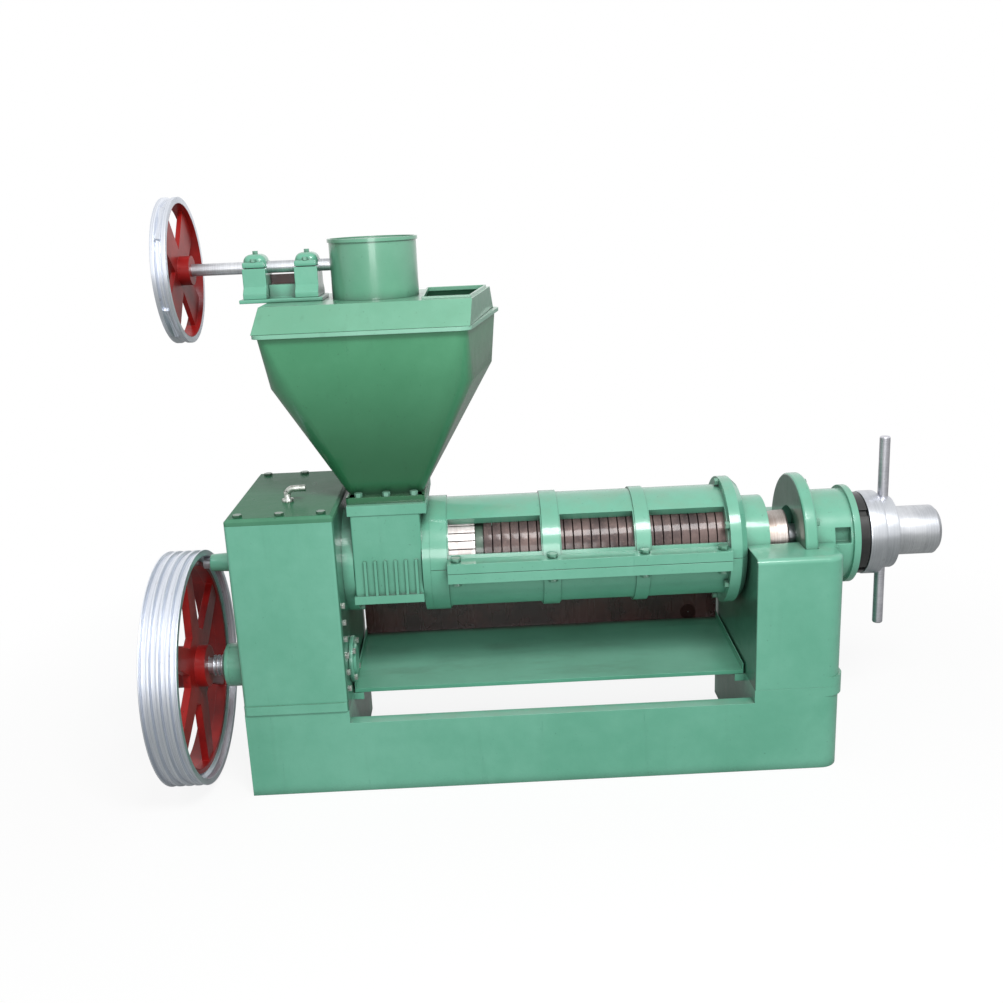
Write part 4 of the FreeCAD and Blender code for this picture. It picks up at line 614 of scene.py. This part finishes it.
def round_edges(obj, width_mm, segments=2, angle=30.0):
    """Rounds the edges whose faces turn by more than an angle."""
    select_only(obj)
    bevel = obj.modifiers.new("edges", "BEVEL")
    bevel.width = width_mm / 1000.0
    bevel.segments = segments
    bevel.limit_method = "ANGLE"
    bevel.angle_limit = math.radians(angle)
    bevel.use_clamp_overlap = True
    bpy.ops.object.modifier_apply(modifier="edges")


def stand_for(obj, node, own=False):
    """Smooths a piece that rides on a node's body, and stands for the node unless it is an addition."""
    select_only(obj)
    bpy.ops.object.shade_smooth_by_angle(angle=math.radians(32.0))
    even = obj.modifiers.new("even_shading", "WEIGHTED_NORMAL")
    even.keep_sharp = True
    bpy.ops.object.modifier_apply(modifier="even_shading")
    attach(obj, NODES[node]["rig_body"])
    if not own:
        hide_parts(node)


def box(name, low, high, width_mm=0.0):
    """A block between two corners given in millimetres."""
    bpy.ops.object.select_all(action="DESELECT")
    centre = [(start + end) / 2000.0 for start, end in zip(low, high)]
    bpy.ops.mesh.primitive_cube_add(size=1.0, location=centre)
    obj = bpy.context.object
    obj.name = name
    obj.scale = [(end - start) / 1000.0 for start, end in zip(low, high)]
    bpy.ops.object.transform_apply(location=True, rotation=True, scale=True)
    if width_mm:
        round_edges(obj, width_mm)
    return obj


def rod(name, radius, length, place, vertices, turn=(0.0, 0.0, 0.0)):
    """A cylinder along Z, or turned by three angles; sizes and place in millimetres."""
    bpy.ops.object.select_all(action="DESELECT")
    centre = [value / 1000.0 for value in place]
    bpy.ops.mesh.primitive_cylinder_add(vertices=vertices, radius=radius / 1000.0, depth=length / 1000.0,
                                        rotation=turn, location=centre)
    obj = bpy.context.object
    obj.name = name
    bpy.ops.object.transform_apply(location=True, rotation=True, scale=True)
    return obj


def turned_ring(name, start, end, inner, outer, line_y=0.0, line_z=PRESS_Z, sweep=360.0, steps=72,
                round_mm=0.6):
    """A ring round a line along X, or a part of one, turned from one side of a thin block."""
    half = 0.5
    section = box(name, (start, line_y - half, line_z + inner), (end, line_y + half, line_z + outer))
    pick(section, lambda place: place.y * 1000.0 > line_y)
    bpy.ops.mesh.delete(type="VERT")
    bpy.ops.mesh.select_all(action="SELECT")
    bpy.ops.transform.translate(value=(0, half / 1000.0, 0))
    if sweep == 360.0:
        bpy.ops.mesh.delete(type="ONLY_FACE")
        bpy.ops.mesh.select_all(action="SELECT")
    bpy.ops.mesh.spin(steps=steps, angle=math.radians(sweep), axis=(1, 0, 0),
                      center=(0, line_y / 1000.0, line_z / 1000.0))
    bpy.ops.mesh.select_all(action="SELECT")
    bpy.ops.mesh.remove_doubles(threshold=0.00001)
    bpy.ops.mesh.normals_make_consistent(inside=False)
    bpy.ops.object.mode_set(mode="OBJECT")
    round_edges(section, round_mm, angle=40.0)
    return section


def joined(pieces):
    """One piece out of several, which keeps the first one's name."""
    bpy.ops.object.select_all(action="DESELECT")
    for piece in pieces:
        piece.select_set(True)
    bpy.context.view_layer.objects.active = pieces[0]
    bpy.ops.object.join()
    return bpy.context.object


def repeated(first, count, matrix_of):
    """Copies of a piece, each with its own mesh, moved by a matrix."""
    copies = []
    for i in range(1, count):
        copy = bpy.data.objects.new(f"{first.name}_{i}", first.data.copy())
        bpy.context.scene.collection.objects.link(copy)
        copy.data.transform(matrix_of(i))
        copies.append(copy)
    return [first] + copies


def about_press_line(degrees):
    """A turn about the line of the press shaft."""
    there = Matrix.Translation((0, 0, PRESS_Z / 1000.0))
    return there @ Matrix.Rotation(math.radians(degrees), 4, "X") @ there.inverted()


# Pieces that are finer here than in the solids

def four_corners(left, front, back, right_front, right_back):
    """The corners of an outline whose right side may slant."""
    return [(left, front), (right_front, front), (right_back, back), (left, back)]


def outline(corners, z, radius):
    """A flat plate with the given corners, each rounded; cut out of a larger plane."""
    bpy.ops.object.select_all(action="DESELECT")
    bpy.ops.mesh.primitive_plane_add(size=4.0, location=(0, 0, z / 1000.0))
    plate = bpy.context.object
    bpy.ops.object.transform_apply(location=True, rotation=True, scale=True)
    bpy.ops.object.mode_set(mode="EDIT")
    for (x, y), (next_x, next_y) in zip(corners, corners[1:] + corners[:1]):
        corner = (x / 1000.0, y / 1000.0, z / 1000.0)
        outwards = Vector((next_y - y, x - next_x, 0)).normalized()
        bpy.ops.mesh.select_all(action="SELECT")
        bpy.ops.mesh.bisect(plane_co=corner, plane_no=outwards, clear_outer=True)
    bpy.ops.mesh.select_all(action="SELECT")
    bpy.ops.mesh.bevel(offset=radius / 1000.0, segments=6, affect="VERTICES")
    bpy.ops.object.mode_set(mode="OBJECT")
    return plate


def lofted(name, levels, wall_mm):
    """A wall through outlines, bottom first and open at both ends; a level is corners, z and radius."""
    body = joined([outline(*level) for level in levels])
    body.name = name
    bpy.ops.object.mode_set(mode="EDIT")
    bpy.ops.mesh.select_all(action="SELECT")
    bpy.ops.mesh.delete(type="ONLY_FACE")
    for lower, upper in zip(levels, levels[1:]):
        heights = (lower[1] / 1000.0, upper[1] / 1000.0)
        pick(body, lambda place: any(abs(place.z - height) < 0.0001 for height in heights))
        bpy.ops.mesh.select_mode(type="EDGE")
        bpy.ops.mesh.bridge_edge_loops()
        bpy.ops.mesh.select_mode(type="VERT")
    bpy.ops.mesh.select_all(action="SELECT")
    bpy.ops.mesh.normals_make_consistent(inside=False)
    bpy.ops.object.mode_set(mode="OBJECT")
    sheet = body.modifiers.new("wall", "SOLIDIFY")
    sheet.thickness = wall_mm / 1000.0
    sheet.offset = -1.0
    bpy.ops.object.modifier_apply(modifier="wall")
    return body


def strainer():
    """The dark strainer over the tray's drain, with its face to the front."""
    half = STRAINER_THICKNESS / 2.0
    disc = turned_ring("drain_strainer", -half, half, 1.0, STRAINER_RADIUS, 0.0, 0.0, steps=32)
    place = Matrix.Translation([value / 1000.0 for value in DRAIN_PLACE])
    disc.data.transform(place @ Matrix.Rotation(math.pi / 2, 4, "Z"))
    stand_for(disc, "oil_tray", own=True)
    put_on(disc, MATERIALS["soot"])


def shaft_slingers():
    """Thin bright rings on the input shaft, in front of its cap."""
    for i in range(SLINGERS):
        start = SLINGER_START - SLINGER_PITCH * i
        ring = turned_ring(f"shaft_slinger_{i}", start, start + SLINGER_WIDTH, SLINGER_BORE, SLINGER_RADIUS,
                           INPUT_Y, INPUT_Z, round_mm=0.8)
        stand_for(ring, "input_shaft", own=True)
        put_on(ring, MATERIALS["bright"])


def make_hopper():
    """The sheet hopper: round-cornered neck and shoulder, splayed right wall, and a turned-out rim."""
    neck = (four_corners(-400, -80, 80, -240, -240), NECK_Z - 1.0, NECK_RADIUS)
    shoulder = (four_corners(-535, -172, 171, -128, -70), SHOULDER_Z, SHOULDER_RADIUS)
    rim = (four_corners(-544, -190, 180, -128, -64), RIM_Z, RIM_RADIUS)
    lip = four_corners(-552, -198, 188, -121, -55)
    foot = four_corners(-404, -106, 106, -236, -236)
    shell = lofted("hopper_shell", [neck, shoulder, rim], HOPPER_SHEET)
    edge = lofted("hopper_rim", [(lip, RIM_Z - LIP_DROP, LIP_RADIUS), (lip, RIM_Z + LIP_PROUD, LIP_RADIUS)],
                  LIP_WIDTH)
    flange = lofted("hopper_flange", [(foot, FEED_TOP + HOPPER_GAP, FLANGE_RADIUS),
                                      (foot, NECK_Z, FLANGE_RADIUS)], FLANGE_WIDTH)
    # The rim's lighter enamel is a painted highlight.
    for piece, finish in ((shell, "sheet"), (edge, "rim"), (flange, "sheet")):
        stand_for(piece, "hopper")
        put_on(piece, MATERIALS[finish])


def make_lining():
    """The bars, the divider and the rings that line the cage."""
    bar = turned_ring("lining_bar", BAY_START + BAR_END_GAP, DIVIDER_START - BAR_END_GAP, BORE_RADIUS,
                      LINING_RADIUS, sweep=BAR_SWEEP, steps=2, round_mm=1.0)
    for piece in repeated(bar, LINING_BARS, lambda i: about_press_line(360.0 / LINING_BARS * i)):
        stand_for(piece, "cage_bars")
        put_on(piece, MATERIALS["lining"])
    divider = turned_ring("divider_ring", DIVIDER_START, DIVIDER_END, BORE_RADIUS, DIVIDER_RADIUS)
    stand_for(divider, "cage_divider")
    put_on(divider, MATERIALS["cover_bolts"])
    pitch = (LINING_END - DIVIDER_END) / LINING_RINGS
    start = DIVIDER_END + RING_GAP / 2.0
    end = start + pitch - RING_GAP
    ring = turned_ring("lining_ring", start, end, BORE_RADIUS, LINING_RADIUS, round_mm=1.2)
    for piece in repeated(ring, LINING_RINGS, lambda i: Matrix.Translation((i * pitch / 1000.0, 0, 0))):
        stand_for(piece, "cage_rings")
        put_on(piece, MATERIALS["iron"])


def make_adjusting_wheel():
    """The stepped hand ring and its two tommy bars."""
    rim = turned_ring("hand_wheel", WHEEL_START, WHEEL_STEP, WHEEL_BORE, WHEEL_RADIUS, round_mm=WHEEL_EDGE)
    hub = turned_ring("hand_wheel_hub", WHEEL_STEP - 1.0, WHEEL_END, WHEEL_BORE, WHEEL_HUB_RADIUS,
                      round_mm=WHEEL_EDGE)
    wheel = joined([rim, hub])
    stand_for(wheel, "hand_ring")
    put_on(wheel, MATERIALS["bright"])
    bars = []
    for side in (-1, 1):
        place = (TOMMY_X, 0.0, PRESS_Z + side * TOMMY_OFF_AXIS)
        bar = rod("tommy_bar", TOMMY_RADIUS, TOMMY_LENGTH, place, 32)
        round_edges(bar, WHEEL_EDGE, segments=3, angle=60.0)
        bar.data.transform(about_press_line(TOMMY_TILT))
        bars.append(bar)
    pair = joined(bars)
    stand_for(pair, "tommy_bars")
    put_on(pair, MATERIALS["bar"])


def bearing_cap(i, x):
    """The upper half of a rounded block, bored for the shaft, with an ear on each side."""
    reach, side = CAP_LENGTH / 2.0, CAP_DEPTH / 2.0
    crown = box(f"bearing_cap_{i}", (x - reach, -side, FEED_Z - 25.0), (x + reach, side, CAP_TOP))
    round_edges(crown, CAP_DOME, segments=6)
    pick(crown, lambda place: True)
    bpy.ops.mesh.bisect(plane_co=(0, 0, CAP_SPLIT / 1000.0), plane_no=(0, 0, 1), clear_inner=True,
                        use_fill=True)
    bpy.ops.object.mode_set(mode="OBJECT")
    reach, side = EAR_LENGTH / 2.0, side + EAR_GAP
    ears = [box(f"bearing_cap_ear_{i}", (x - reach, front, CAP_SPLIT), (x + reach, back, EAR_TOP), 3.0)
            for front, back in ((-EAR_REACH, -side), (side, EAR_REACH))]
    along_shaft = (0.0, math.pi / 2, 0.0)
    bore = rod("bore", FEED_SHAFT_RADIUS + SHAFT_CLEARANCE, 100.0, (x, 0.0, FEED_Z), 48, along_shaft)
    cut = crown.modifiers.new("bore", "BOOLEAN")
    cut.object = bore
    cut.solver = "EXACT"
    select_only(crown)
    bpy.ops.object.modifier_apply(modifier="bore")
    bpy.data.objects.remove(bore)
    return joined([crown] + ears)


def make_bearing_caps():
    """Domed caps with ears and small grease plugs, and the stiffening web between the two bearings."""
    for i, x in enumerate(BLOCK_PLACES):
        cap = bearing_cap(i, x)
        stand_for(cap, "bearing_block_caps")
        put_on(cap, MATERIALS["casting"])
        plug = rod(f"grease_plug_{i}", PLUG_RADIUS, PLUG_HEIGHT, (x, 0.0, PLUG_CENTRE_Z), 6)
        stand_for(plug, "grease_cups")
        put_on(plug, MATERIALS["fasteners"])
    web = box("bearing_bracket_web", WEB_FROM, WEB_TO, WEB_EDGE)
    stand_for(web, "bearing_bracket", own=True)
    put_on(web, MATERIALS["primer"])


def dress_nodes():
    """Gives every node its material, and its finer copy or its new piece."""
    for finish, names in WEARS.items():
        for name in names:
            if name not in REMADE:
                put_on(finished_copy(name, SOFT_EDGES.get(name, 0.0)), MATERIALS[finish])
            put_on(NODES[name], MATERIALS[finish])
    strainer()
    shaft_slingers()
    make_hopper()
    make_lining()
    make_adjusting_wheel()
    make_bearing_caps()


# Stage, in metres and degrees

LAMP_AIM = (0.0, 0.0, 0.55)
CAMERA_PLACE = (-0.1007, -2.333, 1.2385)
CAMERA_DOWN = 15.6
CAMERA_TURN = 0.7
CAMERA_ROLL = -2.5
CAMERA_LENS_MM = 38.97


def floor():
    """A floor that the camera sees as white and that throws little light back at the press."""
    bpy.ops.object.select_all(action="DESELECT")
    bpy.ops.mesh.primitive_plane_add(size=30.0, location=(0, 0, -0.0005))
    plane = bpy.context.object
    plane.name = "studio_floor"
    paper = Finish("pale_floor", Roughness=0.9)
    path = paper.node("ShaderNodeLightPath")
    seen = Val(paper, path.outputs["Is Camera Ray"])
    mirrored = Val(paper, path.outputs["Is Glossy Ray"])
    paper.colour(paper.mix(seen, (0.30, 0.31, 0.30, 1), (1.0, 1.0, 1.0, 1)))
    glow = paper.node("ShaderNodeEmission", {}, {"Color": (1, 1, 1, 1), "Strength": 1.0})
    far = ((paper.x * paper.x + paper.y * paper.y) ** 0.5).step(1.0, 1.9)
    share = (seen * (0.88 + 0.12 * far) + mirrored * 0.1).clamp()
    blend = paper.node("ShaderNodeMixShader", {}, {0: share, 1: paper.shader.outputs[0], 2: glow.outputs[0]})
    out = next(node for node in paper.tree.nodes if node.type == "OUTPUT_MATERIAL")
    paper.tree.links.new(blend.outputs[0], out.inputs[0])
    put_on(plane, paper.material)


def world():
    """Soft light from all sides, and plain white where the camera or a mirror sees past the floor."""
    scene = bpy.context.scene
    scene.world = bpy.data.worlds.new("pale_studio")
    scene.world.use_nodes = True
    tree = scene.world.node_tree
    soft = next(node for node in tree.nodes if node.type == "BACKGROUND")
    soft.inputs[0].default_value = (1.0, 1.0, 1.0, 1)
    soft.inputs[1].default_value = 0.42
    plain = tree.nodes.new("ShaderNodeBackground")
    plain.inputs[0].default_value = (1, 1, 1, 1)
    plain.inputs[1].default_value = 1.0
    path = tree.nodes.new("ShaderNodeLightPath")
    mix = tree.nodes.new("ShaderNodeMixShader")
    either = tree.nodes.new("ShaderNodeMath")
    either.operation = "MAXIMUM"
    tree.links.new(path.outputs["Is Camera Ray"], either.inputs[0])
    tree.links.new(path.outputs["Is Glossy Ray"], either.inputs[1])
    tree.links.new(either.outputs[0], mix.inputs[0])
    tree.links.new(soft.outputs[0], mix.inputs[1])
    tree.links.new(plain.outputs[0], mix.inputs[2])
    out = next(node for node in tree.nodes if node.type == "OUTPUT_WORLD")
    tree.links.new(mix.outputs[0], out.inputs[0])


def lamp(name, place, power, size):
    """A rectangular lamp aimed at the middle of the press."""
    light = bpy.data.lights.new(name, "AREA")
    light.energy = power
    light.shape = "RECTANGLE"
    light.size, light.size_y = size
    obj = bpy.data.objects.new(name, light)
    bpy.context.scene.collection.objects.link(obj)
    obj.location = place
    obj.rotation_euler = (Vector(LAMP_AIM) - Vector(place)).to_track_quat("-Z", "Y").to_euler()


def camera():
    """The photograph's camera."""
    down = math.radians(CAMERA_DOWN)
    turn = math.radians(CAMERA_TURN)
    roll = math.radians(CAMERA_ROLL)
    forward = Vector((math.sin(turn) * math.cos(down), math.cos(turn) * math.cos(down), -math.sin(down)))
    level = Vector((math.cos(turn), -math.sin(turn), 0))
    above = level.cross(forward)
    right = level * math.cos(roll) + above * math.sin(roll)
    up = above * math.cos(roll) - level * math.sin(roll)
    data = bpy.data.cameras.new("photo_camera")
    data.sensor_width = 36.0
    data.lens = CAMERA_LENS_MM
    data.clip_end = 60.0
    obj = bpy.data.objects.new("photo_camera", data)
    bpy.context.scene.collection.objects.link(obj)
    turned = Matrix((right, up, -forward)).transposed().to_4x4()
    obj.matrix_world = Matrix.Translation(CAMERA_PLACE) @ turned
    bpy.context.scene.camera = obj


dress_nodes()
floor()
world()
lamp("key_soft_box", (0.7, -2.4, 3.3), 88.0, (1.5, 0.9))
lamp("front_soft_box", (-0.1, -3.8, 1.5), 34.0, (1.2, 1.2))
camera()
bpy.context.scene.view_settings.view_transform = "Standard"
